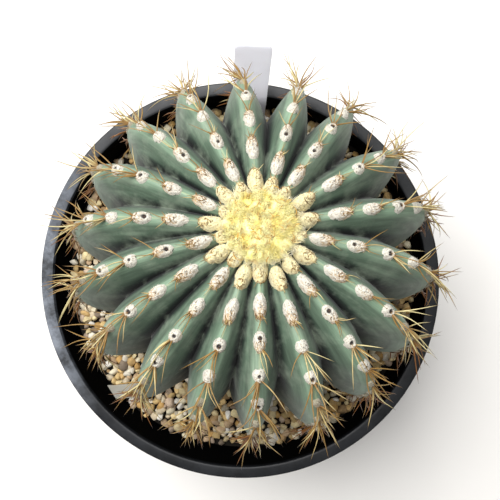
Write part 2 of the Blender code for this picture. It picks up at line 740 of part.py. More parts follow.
def main() -> None:
    """Build every piece of the potted plant."""
    clear_scene()
    form = PlantForm()
    plastic = make_material("pot_plastic", POT_BLACK, 0.42)
    gravel = make_material("gravel", GRAVEL_TAN, 0.85)
    skin = make_material("cactus_skin", SKIN_GREEN, 0.6)
    felt = make_material("crown_felt", FELT_YELLOW, 0.95)
    label = make_material("label_plastic", LABEL_WHITE, 0.4)
    build_pot(plastic)
    build_soil(form, gravel)
    build_body(form, skin)
    build_wool(form, felt)
    build_stake(label)
    build_scrap(label)


main()
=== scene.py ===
"""Potted barrel cactus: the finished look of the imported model.

The frame gives the pot, the gravel, the plant, its crown felt and two labels as plain
solids, in metres, with the pot's base at the origin and +Z up. This script replaces the
pot, the gravel and the plant with fine meshes of the same form, dresses the labels, and
sets a pale floor, soft daylight and the camera of the photograph, nearly overhead.
"""
import logging
import math
import random
from dataclasses import dataclass, field
from enum import Enum

import bpy
import numpy as np
from mathutils import Matrix, Vector, noise


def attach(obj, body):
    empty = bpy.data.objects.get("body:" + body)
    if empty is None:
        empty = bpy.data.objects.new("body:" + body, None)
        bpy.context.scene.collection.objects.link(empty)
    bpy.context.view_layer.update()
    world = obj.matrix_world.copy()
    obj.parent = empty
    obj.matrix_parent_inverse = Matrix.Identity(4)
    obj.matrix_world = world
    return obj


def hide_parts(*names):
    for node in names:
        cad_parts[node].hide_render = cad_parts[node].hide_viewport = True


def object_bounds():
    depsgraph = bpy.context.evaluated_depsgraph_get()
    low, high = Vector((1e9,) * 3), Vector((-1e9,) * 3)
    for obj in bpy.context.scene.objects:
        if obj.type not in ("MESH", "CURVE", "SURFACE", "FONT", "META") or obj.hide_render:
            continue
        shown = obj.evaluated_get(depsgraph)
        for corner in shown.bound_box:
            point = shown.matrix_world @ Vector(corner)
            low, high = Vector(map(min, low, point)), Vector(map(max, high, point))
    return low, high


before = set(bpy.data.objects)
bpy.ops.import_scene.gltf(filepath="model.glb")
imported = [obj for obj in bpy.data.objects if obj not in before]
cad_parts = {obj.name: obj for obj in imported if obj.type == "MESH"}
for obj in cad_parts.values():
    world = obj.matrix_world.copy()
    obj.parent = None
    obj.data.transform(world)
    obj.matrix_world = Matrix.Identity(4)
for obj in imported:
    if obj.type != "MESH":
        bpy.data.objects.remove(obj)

CAD_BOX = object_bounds()
LOG = logging.getLogger("potted_cactus")
MM = 0.001
ROOT = "root"
FULL_TURN = 2.0 * math.pi
MIX_FIRST = 6
MIX_SECOND = 7
MIX_RESULT = 2


def linear(hex_colour: str) -> tuple[float, float, float, float]:
    """Turn an sRGB hex colour to linear RGBA.

    Args:
        hex_colour: Six hex digits after a hash sign.

    Returns:
        Red, green, blue and an alpha of one, as Blender's sockets hold them.
    """
    channels = [int(hex_colour[k:k + 2], 16) / 255.0 for k in (1, 3, 5)]
    red, green, blue = (c / 12.92 if c <= 0.04045 else ((c + 0.055) / 1.055) ** 2.4 for c in channels)
    return red, green, blue, 1.0


def rgba(hex_colour: str) -> np.ndarray:
    """Return an sRGB hex colour as a linear RGBA array."""
    return np.array(linear(hex_colour))


def per_metre(size_mm: float) -> float:
    """Return the texture scale, in object space, whose features are size_mm across."""
    return 1.0 / (size_mm * MM)


def smoothstep(low: float, high: float, value: np.ndarray | float) -> np.ndarray | float:
    """Blend from 0 at low to 1 at high with flat ends."""
    t = np.clip((value - low) / (high - low), 0.0, 1.0)
    return t * t * (3.0 - 2.0 * t)


def blend(first: np.ndarray, second: np.ndarray, share: np.ndarray | float) -> np.ndarray:
    """Return first where share is zero and second where it is one."""
    return first * (1.0 - share) + second * share


def ring(count: int) -> np.ndarray:
    """Return headings evenly spaced round a full turn."""
    return np.linspace(0.0, FULL_TURN, count, endpoint=False)


def circle(turn: np.ndarray, radius: float, height: float, middle: tuple = (0.0, 0.0)) -> np.ndarray:
    """Return level points at headings round a middle."""
    x, y = middle[0] + radius * np.cos(turn), middle[1] + radius * np.sin(turn)
    return np.stack((x, y, np.full(len(turn), height)), axis=-1)


def grid_faces(rows: int, columns: int) -> list[tuple]:
    """List the quads between the rows of a grid whose columns close in a ring.

    Args:
        rows: The number of rows.
        columns: The number of points in a row.

    Returns:
        Four indices a quad, row by row.
    """
    quads = []
    for row in range(rows - 1):
        for k in range(columns):
            a = row * columns + k
            b = row * columns + (k + 1) % columns
            quads.append((a, b, b + columns, a + columns))
    return quads


def add_node(tree: bpy.types.NodeTree, kind: str, settings: dict | None = None,
             links: dict | None = None) -> bpy.types.Node:
    """Add a shader node with its settings and its incoming links.

    Args:
        tree: The material's or world's node tree.
        kind: The node's Blender type name.
        settings: Node properties or input values by name or index; "stops" fills a ramp
            with (position, hex colour) pairs.
        links: Output sockets to plug in, by input name or index.

    Returns:
        The new node.
    """
    node = tree.nodes.new(kind)
    for key, value in (settings or {}).items():
        if key == "stops":
            ramp = node.color_ramp
            while len(ramp.elements) < len(value):
                ramp.elements.new(0.5)
            for element, (position, colour) in zip(ramp.elements, value):
                element.position = position
                element.color = linear(colour)
        elif isinstance(key, str) and hasattr(node, key):
            setattr(node, key, value)
        else:
            node.inputs[key].default_value = value
    for key, socket in (links or {}).items():
        tree.links.new(socket, node.inputs[key])
    return node


def put_on(piece: bpy.types.Object, material: bpy.types.Material) -> None:
    """Give a piece one material and nothing else."""
    piece.data.materials.clear()
    piece.data.materials.append(material)


@dataclass
class MeshParts:
    """Vertices in millimetres, faces and colours gathered into one mesh."""

    points: list = field(default_factory=list)
    faces: list = field(default_factory=list)
    tones: list = field(default_factory=list)
    count: int = 0

    def add(self, points: np.ndarray, faces: list, tone: np.ndarray | tuple | None = None) -> None:
        """Append one body.

        Args:
            points: Its vertices, one row each.
            faces: Tuples of indices into those rows.
            tone: Linear RGBA for the whole body or for each vertex.
        """
        points = np.asarray(points, dtype=float)
        base = self.count
        self.points.append(points)
        self.faces.extend(tuple(int(k) + base for k in face) for face in faces)
        if tone is not None:
            self.tones.append(np.broadcast_to(np.asarray(tone, dtype=float), (len(points), 4)))
        self.count += len(points)

    def build(self, name: str, sharp_above: float | None = None) -> bpy.types.Object:
        """Make the object, shaded smooth.

        Args:
            name: The object's name.
            sharp_above: Edges that turn by more degrees than this stay sharp.

        Returns:
            The new object at the origin.
        """
        mesh = bpy.data.meshes.new(name)
        mesh.from_pydata((np.concatenate(self.points) * MM).tolist(), [], self.faces)
        mesh.validate()
        mesh.shade_smooth()
        if sharp_above is not None:
            mesh.set_sharp_from_angle(angle=math.radians(sharp_above))
        if self.tones:
            layer = mesh.attributes.new("tone", "FLOAT_COLOR", "POINT")
            layer.data.foreach_set("color", np.concatenate(self.tones).astype(np.float32).ravel())
        piece = bpy.data.objects.new(name, mesh)
        bpy.context.scene.collection.objects.link(piece)
        return piece


@dataclass
class Surface:
    """A material in the making: a Principled shader and the steps that finishes share.

    Most steps add one node and return its output socket.
    """

    name: str
    settings: dict

    def __post_init__(self) -> None:
        """Start the material, with its shader's own settings."""
        self.material = bpy.data.materials.new(self.name)
        self.material.use_nodes = True
        self.tree = self.material.node_tree
        self.shader = self.tree.nodes["Principled BSDF"]
        for key, value in self.settings.items():
            self.shader.inputs[key].default_value = value
        self.spot = add_node(self.tree, "ShaderNodeTexCoord").outputs["Object"]

    def plug(self, name: str, socket: bpy.types.NodeSocket) -> None:
        """Feed one of the shader's inputs."""
        self.tree.links.new(socket, self.shader.inputs[name])

    def stored(self, name: str, output: str = "Fac") -> bpy.types.NodeSocket:
        """Read a value stored with the mesh."""
        return add_node(self.tree, "ShaderNodeAttribute", {"attribute_name": name}).outputs[output]

    def clouds(self, size_mm: float, detail: float, roughness: float = 0.5) -> bpy.types.NodeSocket:
        """Add noise whose features are size_mm across."""
        settings = {"Scale": per_metre(size_mm), "Detail": detail, "Roughness": roughness}
        return add_node(self.tree, "ShaderNodeTexNoise", settings, {"Vector": self.spot}).outputs["Fac"]

    def remap(self, value: bpy.types.NodeSocket, low: float, high: float, start: float = 0.0,
              end: float = 1.0) -> bpy.types.NodeSocket:
        """Map low to start and high to end, clamped outside."""
        settings = {"From Min": low, "From Max": high, "To Min": start, "To Max": end}
        return add_node(self.tree, "ShaderNodeMapRange", settings, {"Value": value}).outputs["Result"]

    def work_out(self, operation: str, *values: bpy.types.NodeSocket | float,
                 clamp: bool = False) -> bpy.types.NodeSocket:
        """Add a sum on sockets and numbers.

        Args:
            operation: The Math node's operation.
            values: Its operands in order.
            clamp: Whether the result is held between 0 and 1.

        Returns:
            The result.
        """
        settings = {"operation": operation, "use_clamp": clamp}
        links = {}
        for slot, value in enumerate(values):
            (settings if isinstance(value, float) else links)[slot] = value
        return add_node(self.tree, "ShaderNodeMath", settings, links).outputs["Value"]

    def mix(self, share: bpy.types.NodeSocket, first: bpy.types.NodeSocket | str,
            second: bpy.types.NodeSocket | str) -> bpy.types.NodeSocket:
        """Mix two colours.

        Args:
            share: How much of the second is taken.
            first: A colour's socket or an sRGB hex colour.
            second: The same, for the other colour.

        Returns:
            The mixed colour.
        """
        settings = {"data_type": "RGBA"}
        links = {0: share}
        for slot, colour in ((MIX_FIRST, first), (MIX_SECOND, second)):
            if isinstance(colour, str):
                settings[slot] = linear(colour)
            else:
                links[slot] = colour
        return add_node(self.tree, "ShaderNodeMix", settings, links).outputs[MIX_RESULT]

    def shaded(self, colour: bpy.types.NodeSocket | str,
               brightness: bpy.types.NodeSocket) -> bpy.types.NodeSocket:
        """Multiply a colour by a brightness.

        Args:
            colour: A colour's socket or an sRGB hex colour.
            brightness: What it is multiplied by.

        Returns:
            The shaded colour.
        """
        settings = {"operation": "SCALE"}
        links = {"Scale": brightness}
        if isinstance(colour, str):
            settings[0] = linear(colour)[:3]
        else:
            links[0] = colour
        return add_node(self.tree, "ShaderNodeVectorMath", settings, links).outputs["Vector"]

    def uneven(self, colour: bpy.types.NodeSocket | str, cloud: bpy.types.NodeSocket, dark: float,
               bright: float) -> None:
        """Give the shader a colour whose brightness follows clouds.

        Args:
            colour: A colour's socket or an sRGB hex colour.
            cloud: The noise that it follows.
            dark: The brightness in the clouds' lows.
            bright: The brightness in their highs.
        """
        self.plug("Base Color", self.shaded(colour, self.remap(cloud, 0.3, 0.7, dark, bright)))

    def relief(self, height: bpy.types.NodeSocket, strength: float, depth_mm: float) -> None:
        """Give the shader fine relief."""
        settings = {"Strength": strength, "Distance": depth_mm * MM}
        bump = add_node(self.tree, "ShaderNodeBump", settings, {"Height": height})
        self.plug("Normal", bump.outputs["Normal"])


@dataclass(frozen=True)
class WaxySkinFinish:
    """Epidermis of a glaucous barrel cactus.

    The skin is blue-green under a matt wax bloom, so light spreads with hardly a
    highlight. The bloom is rubbed thinner in streaks along the ribs, the crest is fresher
    green with a thin pale line that is partly a painted highlight, and old skin low down
    turns grey with a purple cast. From the flank to the furrow the colour darkens to near
    black, a painted shade of the deep furrows.
    """

    # The crest line is partly a real pale line and partly a painted highlight along the ridge.
    crest_line_and_highlight: str = "#93a07c"
    crest: str = "#7b937b"
    flank: str = "#586b59"
    # Painted shade: hollow and furrow darken the skin to near black toward the furrow bottom.
    painted_hollow_shade: str = "#202d24"
    furrow: str = "#060a08"
    bloom: str = "#8b9885"
    aged: str = "#565345"
    bloom_patch_mm: float = 11.0
    age_patch_mm: float = 22.0
    streak_mm: float = 1.2
    streak_stretch: float = 0.05
    grain_mm: float = 0.7

    def make(self) -> bpy.types.Material:
        """Build the material from the rib attributes stored on the skin.

        Returns:
            The material.
        """
        surface = Surface("waxy_skin", {
            "Roughness": 0.56, "Specular IOR Level": 0.32, "Sheen Weight": 0.08, "Sheen Roughness": 0.5})
        across = surface.stored("across")
        # Painted shade toward the furrow (hollow and furrow stops); the crest line stop is partly a painted
        # highlight.
        stops = [(0.0, self.crest_line_and_highlight), (0.07, self.crest), (0.22, self.crest), (0.42, self.flank),
                 (0.64, self.flank), (0.82, self.painted_hollow_shade), (0.93, self.furrow)]
        base = add_node(surface.tree, "ShaderNodeValToRGB", {"stops": stops}, {"Fac": across})
        bloom_patches = surface.remap(surface.clouds(self.bloom_patch_mm, 4.0, 0.62), 0.46, 0.7, 0.0, 0.6)
        bloomed = surface.mix(bloom_patches, base.outputs["Color"], self.bloom)
        ageing = surface.work_out("MULTIPLY", surface.stored("down"), across, clamp=True)
        age_patches = surface.remap(surface.clouds(self.age_patch_mm, 5.0, 0.65), 0.36, 0.64)
        aged = surface.mix(surface.work_out("MULTIPLY", ageing, age_patches, clamp=True), bloomed, self.aged)
        scale = (self.streak_stretch, 1.0 / self.streak_mm, 1.0)
        stretched = add_node(surface.tree, "ShaderNodeMapping", {"vector_type": "POINT", "Scale": scale},
                             {"Vector": surface.stored("rib_place", "Vector")})
        streaks = add_node(surface.tree, "ShaderNodeTexNoise",
                           {"Scale": 1.0, "Detail": 3.0, "Roughness": 0.6},
                           {"Vector": stretched.outputs["Vector"]}).outputs["Fac"]
        surface.uneven(aged, streaks, 0.68, 1.26)
        surface.relief(surface.work_out("ADD", surface.clouds(self.grain_mm, 3.0), streaks), 0.22, 0.25)
        return surface.material


@dataclass(frozen=True)
class PlantFeltFinish:
    """Plant felt: matted hairs a few hundredths of a millimetre thick.

    It is fully matt with a soft bright rim. The hairs are drawn ten times coarser than
    they are, so that they show, and dust leaves dark specks in it.
    """

    name: str
    speck: str = "#7a5f42"
    speck_mm: float = 0.7
    hair_mm: float = 0.45
    speck_start: float = 0.62
    speck_edge: float = 0.09

    def make(self) -> bpy.types.Material:
        """Build the material on the colours stored with the mesh.

        Returns:
            The material.
        """
        surface = Surface(self.name, {
            "Roughness": 0.95, "Specular IOR Level": 0.1, "Sheen Weight": 0.35, "Sheen Roughness": 0.6})
        full = self.speck_start + self.speck_edge
        specks = surface.remap(surface.clouds(self.speck_mm, 1.0), self.speck_start, full, 0.0, 0.75)
        hairs = surface.clouds(self.hair_mm, 2.0)
        surface.uneven(surface.mix(specks, surface.stored("tone", "Color"), self.speck), hairs, 0.86, 1.04)
        surface.relief(hairs, 0.6, 0.3)
        return surface.material


@dataclass(frozen=True)
class SpineFinish:
    """Straw-yellow spine wood: hard and slightly glossy, dull where it is old."""

    band_mm: float = 1.8

    def make(self) -> bpy.types.Material:
        """Build the material on the colours stored with the mesh.

        Returns:
            The material.
        """
        surface = Surface("spine_wood", {"Roughness": 0.45, "Specular IOR Level": 0.45})
        surface.uneven(surface.stored("tone", "Color"), surface.clouds(self.band_mm, 2.0), 0.8, 1.15)
        return surface.material


@dataclass(frozen=True)
class GritFinish:
    """Dry mixed grit: pumice, fired clay and granite chips, each its own colour.

    Broken stone is matt, with pores and pale dust in its hollows.
    """

    pore_mm: float = 0.8
    blotch_mm: float = 2.6

    def make(self) -> bpy.types.Material:
        """Build the material on the colour stored with each stone.

        Returns:
            The material.
        """
        surface = Surface("mixed_grit", {"Roughness": 0.88, "Specular IOR Level": 0.2})
        surface.uneven(surface.stored("tone", "Color"), surface.clouds(self.blotch_mm, 3.0), 0.78, 1.12)
        surface.relief(surface.clouds(self.pore_mm, 3.0), 0.5, 0.3)
        return surface.material


@dataclass(frozen=True)
class PolypropyleneFinish:
    """Injection-moulded black polypropylene of a nursery pot.

    Satin outside, with a faint flow texture; the inner wall is dull and darker, a painted shade.
    Hard water has dried to grey scale on the flat lip, on its left. The wall's inner side
    is what lies within the cone from wall_foot that widens by wall_taper. Places are in
    metres.
    """

    plastic: str = "#0c0c0e"
    # Painted shade: the inner wall's colour, darker than the plastic outside.
    inside: str = "#030303"
    lip_film: str = "#0f1012"
    scale_deposit: str = "#8a8f98"
    flow_mm: float = 14.0
    deposit_mm: float = 13.0
    fine_mm: float = 0.9
    wall_foot: float = 0.068
    wall_taper: float = 0.1292
    lip_low: float = 0.1432
    lip_high: float = 0.1446
    deposit_from: float = -0.066
    deposit_full: float = -0.086

    def make(self) -> bpy.types.Material:
        """Build the material, with deposits only where the lip is.

        Returns:
            The material.
        """
        surface = Surface("black_polypropylene", {"IOR": 1.49})
        x, y, z = add_node(surface.tree, "ShaderNodeSeparateXYZ", {}, {"Vector": surface.spot}).outputs
        on_lip = surface.remap(z, self.lip_low, self.lip_high)
        leftward = surface.remap(x, self.deposit_from, self.deposit_full, 0.05, 1.0)
        patches = surface.remap(surface.clouds(self.deposit_mm, 6.0, 0.72), 0.36, 0.6, 0.1, 0.85)
        deposit = surface.work_out("MULTIPLY", surface.work_out("MULTIPLY", patches, leftward), on_lip)
        flat = add_node(surface.tree, "ShaderNodeCombineXYZ", {}, {"X": x, "Y": y})
        radius = add_node(surface.tree, "ShaderNodeVectorMath", {"operation": "LENGTH"},
                          {0: flat.outputs["Vector"]})
        mid_wall = surface.work_out("MULTIPLY_ADD", z, self.wall_taper, self.wall_foot)
        within = surface.work_out("LESS_THAN", radius.outputs["Value"], mid_wall)
        # Painted shade: within the wall the plastic takes the darker inside colour.
        filmed = surface.mix(on_lip, surface.mix(within, self.plastic, self.inside), self.lip_film)
        surface.plug("Base Color", surface.mix(deposit, filmed, self.scale_deposit))
        surface.plug("Specular IOR Level", surface.remap(within, 0.0, 1.0, 0.42, 0.02))
        gloss = surface.remap(surface.clouds(self.flow_mm, 4.0), 0.3, 0.7, 0.34, 0.5)
        dull = surface.work_out("MAXIMUM", deposit, within)
        surface.plug("Roughness", surface.work_out("ADD", gloss, dull, clamp=True))
        surface.relief(surface.clouds(self.fine_mm, 2.0), 0.12, 0.1)
        return surface.material


@dataclass(frozen=True)
class LabelPlasticFinish:
    """Matt polystyrene plant label, blank, with a trace of garden dust.

    The sheet is thin and white, so light from behind comes through it.
    """

    name: str
    plastic: str = "#fafaff"
    light_through: float = 0.7
    dust: str = "#b9ad92"
    dust_mm: float = 5.0
    dust_share: float = 0.18

    def make(self) -> bpy.types.Material:
        """Build the material, part of whose light comes through.

        Returns:
            The material.
        """
        surface = Surface(self.name, {"Roughness": 0.42, "Specular IOR Level": 0.5})
        through = add_node(surface.tree, "ShaderNodeBsdfTranslucent", {"Color": linear(self.plastic)})
        sheet = add_node(surface.tree, "ShaderNodeMixShader", {0: self.light_through},
                         {1: surface.shader.outputs["BSDF"], 2: through.outputs["BSDF"]})
        output = surface.tree.nodes["Material Output"]
        surface.tree.links.new(sheet.outputs["Shader"], output.inputs["Surface"])
        dusty = surface.remap(surface.clouds(self.dust_mm, 5.0), 0.48, 0.75, 0.0, self.dust_share)
        surface.plug("Base Color", surface.mix(dusty, self.plastic, self.dust))
        return surface.material


@dataclass(frozen=True)
class PaleTableFinish:
    """Smooth pale laminate that the pot stands on, with barely seen clouding."""

    laminate: str = "#f8f5f0"
    cloud_mm: float = 60.0

    def make(self) -> bpy.types.Material:
        """Build the material.

        Returns:
            The material.
        """
        surface = Surface("pale_laminate", {"Roughness": 0.6, "Specular IOR Level": 0.3})
        surface.uneven(self.laminate, surface.clouds(self.cloud_mm, 3.0), 0.97, 1.0)
        return surface.material


class Growth(Enum):
    """What an areole carries as it ages down the rib."""

    CROWN = "cream felt, still part of the crown"
    YOUNG = "long white felt with clipped spines at its outward end"
    SCARRED = "long felt with a dark flower scar on its inner half"
    BEARING = "round white felt round a dark flower scar"
    OLD = "small greyed felt"
    SHEDDING = "weathered felt low on the plant, with most of its spines lost"


@dataclass(frozen=True)
class Stage:
    """Sizes of one age of areole, in millimetres, and what it carries.

    The age lasts until that arc from the crown. Gold shows in the felt from that share of
    the pad. The first long_count spines of a fan are long and the others are short.
    """

    until: float
    half_length: float
    half_width: float
    rise: float
    gold_from: float
    spines: tuple[int, int]
    long: tuple[float, float]
    long_count: int = 99
    short: tuple[float, float] = (0.0, 0.0)
    curls: int = 0


STAGES = {
    Growth.CROWN: Stage(21.0, 4.7, 3.0, 2.0, 0.55, (2, 3), (2.6, 4.2), curls=6),
    Growth.YOUNG: Stage(33.0, 4.9, 2.4, 1.6, 0.05, (5, 7), (4.0, 7.5), 2, (1.6, 3.0), 5),
    Growth.SCARRED: Stage(44.0, 3.9, 2.3, 1.5, 0.1, (5, 6), (7.0, 12.5), 3, (2.0, 4.0), 2),
    Growth.BEARING: Stage(66.0, 2.6, 2.3, 1.3, 0.6, (6, 8), (10.0, 18.5)),
    Growth.OLD: Stage(108.0, 1.9, 1.7, 1.0, 0.2, (9, 11), (11.0, 19.5)),
    Growth.SHEDDING: Stage(math.inf, 1.5, 1.4, 0.8, -0.1, (4, 6), (5.0, 9.0)),
}


@dataclass(frozen=True)
class Areole:
    """One felt pad on a rib's crest, sizes in millimetres."""

    rib: int
    arc: float
    growth: Growth
    half_length: float
    half_width: float
    rise: float

    def dome(self, reach: np.ndarray) -> np.ndarray:
        """Return the pad's height at shares of the way from its middle to its edge."""
        return self.rise * np.sqrt(np.clip(1.0 - reach ** 2.6, 0.0, 1.0))


@dataclass
class BarrelForm:
    """Surface of the plant: headings, crest profile, furrows and lean, as in the solids.

    Lengths are in millimetres and arcs run from the crown down a crest. Each rib is its
    heading in degrees and the arc of its first areole. Each areole has a small chin.
    """

    centre: tuple = (10.0, 18.0, 185.0)
    lean: float = math.radians(21.5)
    lean_heading: float = math.radians(69.0)
    equator_radius: float = 70.0
    crown_height: float = 43.5
    crown_power: float = 3.0
    foot_depth: float = 62.0
    foot_power: float = 2.3
    foot_level: float = -55.5
    furrow_ratio: float = 0.215
    furrow_growth: float = 0.07
    furrow_side: float = 0.14
    furrow_end: float = 98.0
    crest_round_mm: float = 4.6
    chin_rise: float = 0.9
    chin_reach: float = 4.6
    first_step: float = 12.9
    step_loss: float = 0.6
    pair_from: float = 20.5
    pair_step: float = 9.4
    last_areole_arc: float = 127.0
    samples: int = 600
    ribs: tuple = (
        (12.0, 17.0), (33.5, 19.0), (56.0, 24.0), (75.0, 25.5), (95.0, 18.0), (115.5, 24.0),
        (136.0, 27.0), (155.5, 22.0), (175.0, 17.5), (194.5, 22.5), (213.0, 18.0), (232.5, 23.5),
        (251.5, 19.0), (270.0, 15.5), (289.5, 19.5), (309.0, 26.5), (329.0, 18.5), (350.5, 22.5),
    )

    def __post_init__(self) -> None:
        """Tabulate the crest profile by arc length, and the areoles by rib."""
        turn = np.linspace(0.0, 0.5 * math.pi, self.samples)
        radius = self.equator_radius * np.sin(turn) ** (2.0 / self.crown_power)
        level = self.crown_height * np.abs(np.cos(turn)) ** (2.0 / self.crown_power)
        low = np.linspace(0.0, self.foot_level, self.samples + 1)[1:]
        fall = (-low / self.foot_depth) ** self.foot_power
        low_radius = self.equator_radius * (1.0 - fall) ** (1.0 / self.foot_power)
        self.radii = np.concatenate((radius, low_radius))
        self.levels = np.concatenate((level, low))
        steps = np.hypot(np.diff(self.radii), np.diff(self.levels))
        self.arcs = np.concatenate(([0.0], np.cumsum(steps)))
        self.length = float(self.arcs[-1])
        self.crests = np.radians([heading for heading, _ in self.ribs])
        self.gaps = (np.roll(self.crests, -1) - self.crests) % FULL_TURN
        self.areoles = [self.areoles_of(rib) for rib in range(len(self.ribs))]
        most = max(len(row) for row in self.areoles)
        nowhere = 1e6
        self.chin_arcs = np.full((len(self.ribs), most), nowhere)
        for rib, row in enumerate(self.areoles):
            self.chin_arcs[rib, :len(row)] = [areole.arc for areole in row]

    def areoles_of(self, rib: int) -> list[Areole]:
        """List a rib's areoles from the crown down.

        Args:
            rib: The rib's number.

        Returns:
            Its areoles, after a small one on the crown where the first is far out.
        """
        arc = self.ribs[rib][1]
        row = []
        if arc > self.pair_from:
            row.append(Areole(rib, arc - self.pair_step, Growth.CROWN, 3.8, 2.7, 2.2))
        step = self.first_step
        while arc <= self.last_areole_arc:
            row.append(self.areole_at(rib, arc))
            arc += step
            step -= self.step_loss
        return row

    @staticmethod
    def areole_at(rib: int, arc: float) -> Areole:
        """Return the areole that grows at an arc length, by its age."""
        growth, stage = next((growth, stage) for growth, stage in STAGES.items() if arc < stage.until)
        return Areole(rib, arc, growth, stage.half_length, stage.half_width, stage.rise)

    def profile(self, arc: np.ndarray) -> tuple[np.ndarray, np.ndarray]:
        """Return the crest's radius and level at arc lengths, held within the profile."""
        arc = np.clip(arc, 0.0, self.length)
        return np.interp(arc, self.arcs, self.radii), np.interp(arc, self.arcs, self.levels)

    def off_crest(self, turn: np.ndarray, arc: np.ndarray, lift: np.ndarray | float) -> np.ndarray:
        """Return world points over the round form whose profile is a crest's.

        Args:
            turn: Headings in the plant's frame.
            arc: Arc lengths from the crown.
            lift: Distances off the form, along its normal.

        Returns:
            One point in millimetres per heading.
        """
        half_span = 1.5
        arc = np.clip(arc, 0.0, self.length)
        radius, level = self.profile(arc)
        radius_before, level_before = self.profile(arc - half_span)
        radius_after, level_after = self.profile(arc + half_span)
        run_radius, run_level = radius_after - radius_before, level_after - level_before
        size = np.hypot(run_radius, run_level)
        reach = radius + lift * (-run_level / size)
        height = level + lift * (run_radius / size)
        return self.place(np.stack((reach * np.cos(turn), reach * np.sin(turn), height), axis=-1))

    def depth(self, arc: np.ndarray, turn: np.ndarray) -> np.ndarray:
        """Work out how deep the furrows are below the crests.

        Args:
            arc: Arc lengths from the crown.
            turn: Headings; the furrows are deeper on the +X side.

        Returns:
            Depths in millimetres.
        """
        share = self.furrow_ratio + self.furrow_growth * smoothstep(40.0, 90.0, arc)
        share = share * (1.0 + self.furrow_side * np.cos(turn)) * smoothstep(6.0, 22.0, arc)
        closed = smoothstep(self.furrow_end, self.length, arc)
        return share * (1.0 - closed) * np.interp(arc, self.arcs, self.radii)

    def half_gap_mm(self, rib: np.ndarray, share: np.ndarray, arc: np.ndarray) -> np.ndarray:
        """Return the distance from crest to furrow, along the crest's level."""
        least = 0.5
        return np.maximum(0.5 * self.gap(rib, share) * np.interp(arc, self.arcs, self.radii), least)

    def gap(self, rib: np.ndarray, share: np.ndarray) -> np.ndarray:
        """Return the angle from a crest to the next one on the side of a signed share."""
        return np.where(share > 0.0, self.gaps[rib], self.gaps[rib - 1])

    def heading(self, rib: np.ndarray, share: np.ndarray) -> np.ndarray:
        """Return the heading at a signed share of the way from a crest to its furrow."""
        return self.crests[rib] + 0.5 * self.gap(rib, share) * share

    def surface(self, rib: np.ndarray, share: np.ndarray, arc: np.ndarray,
                lift: np.ndarray | float = 0.0) -> np.ndarray:
        """Return world points on the ribs.

        Args:
            rib: Rib numbers.
            share: Signed share of the way from the crest to the furrow.
            arc: Arc lengths from the crown.
            lift: Distance off the skin, along the crest's normal.

        Returns:
            One point in millimetres per row.
        """
        rib, share, arc = np.broadcast_arrays(rib, share, np.asarray(arc, dtype=float))
        half_gap = self.half_gap_mm(rib, share, arc)
        rounding = np.clip(self.crest_round_mm / half_gap, 0.35, 1.25)
        drop = (np.hypot(share, rounding) - rounding) / (np.hypot(1.0, rounding) - rounding)
        side = (share * half_gap / self.chin_reach) ** 2
        along = (arc[..., None] - self.chin_arcs[rib]) / self.chin_reach
        chin = self.chin_rise * np.exp(-along ** 2).sum(axis=-1) * np.exp(-side) * smoothstep(20.0, 40.0, arc)
        turn = self.heading(rib, share)
        return self.off_crest(turn, arc, lift + chin - self.depth(arc, turn) * drop)

    def place(self, local: np.ndarray) -> np.ndarray:
        """Move points from the plant's frame to the world.

        Above the widest level the plant leans as one piece. Below it the axis bends back,
        so that the foot stands level in the gravel.

        Args:
            local: Points about the middle of the widest level, before the lean.

        Returns:
            The same points in the world, in millimetres.
        """
        local = np.atleast_2d(local)
        away = np.array([math.cos(self.lean_heading), math.sin(self.lean_heading), 0.0])
        hinge = np.array([-away[1], away[0], 0.0])
        span = -self.foot_level
        low = np.minimum(local[..., 2], 0.0)
        lean = self.lean * (1.0 + low / span)
        back = span / self.lean * (np.cos(lean) - math.cos(self.lean))
        down = span / self.lean * (math.sin(self.lean) - np.sin(lean))
        flat = local.copy()
        flat[..., 2] = np.maximum(local[..., 2], 0.0)
        turned = flat * np.cos(lean)[..., None] + np.cross(hinge, flat) * np.sin(lean)[..., None]
        turned += hinge * (flat @ hinge * (1.0 - np.cos(lean)))[..., None]
        upright = np.array([0.0, 0.0, 1.0])
        return np.array(self.centre) - back[..., None] * away - down[..., None] * upright + turned

    def axes(self, rib: int, arc: float) -> Matrix:
        """Set up axes on a crest.

        Args:
            rib: The rib's number.
            arc: The arc length from the crown.

        Returns:
            A matrix with X down the rib, Y across it and Z out of the skin.
        """
        arcs = np.array([arc, arc - 1.0, arc + 1.0, arc])
        lifts = np.array([0.0, 0.0, 0.0, 1.0])
        points = self.surface(np.full(4, rib), np.zeros(4), arcs, lifts)
        origin, before, after, above = (Vector(point) for point in points)
        down = (after - before).normalized()
        out = (above - origin).normalized()
        across = out.cross(down).normalized()
        out = down.cross(across)
        matrix = Matrix((down, across, out)).transposed().to_4x4()
        matrix.translation = origin
        return matrix

    def foot(self) -> np.ndarray:
        """Return the middle of the plant's foot."""
        return self.place(np.array([[0.0, 0.0, self.foot_level]]))[0]


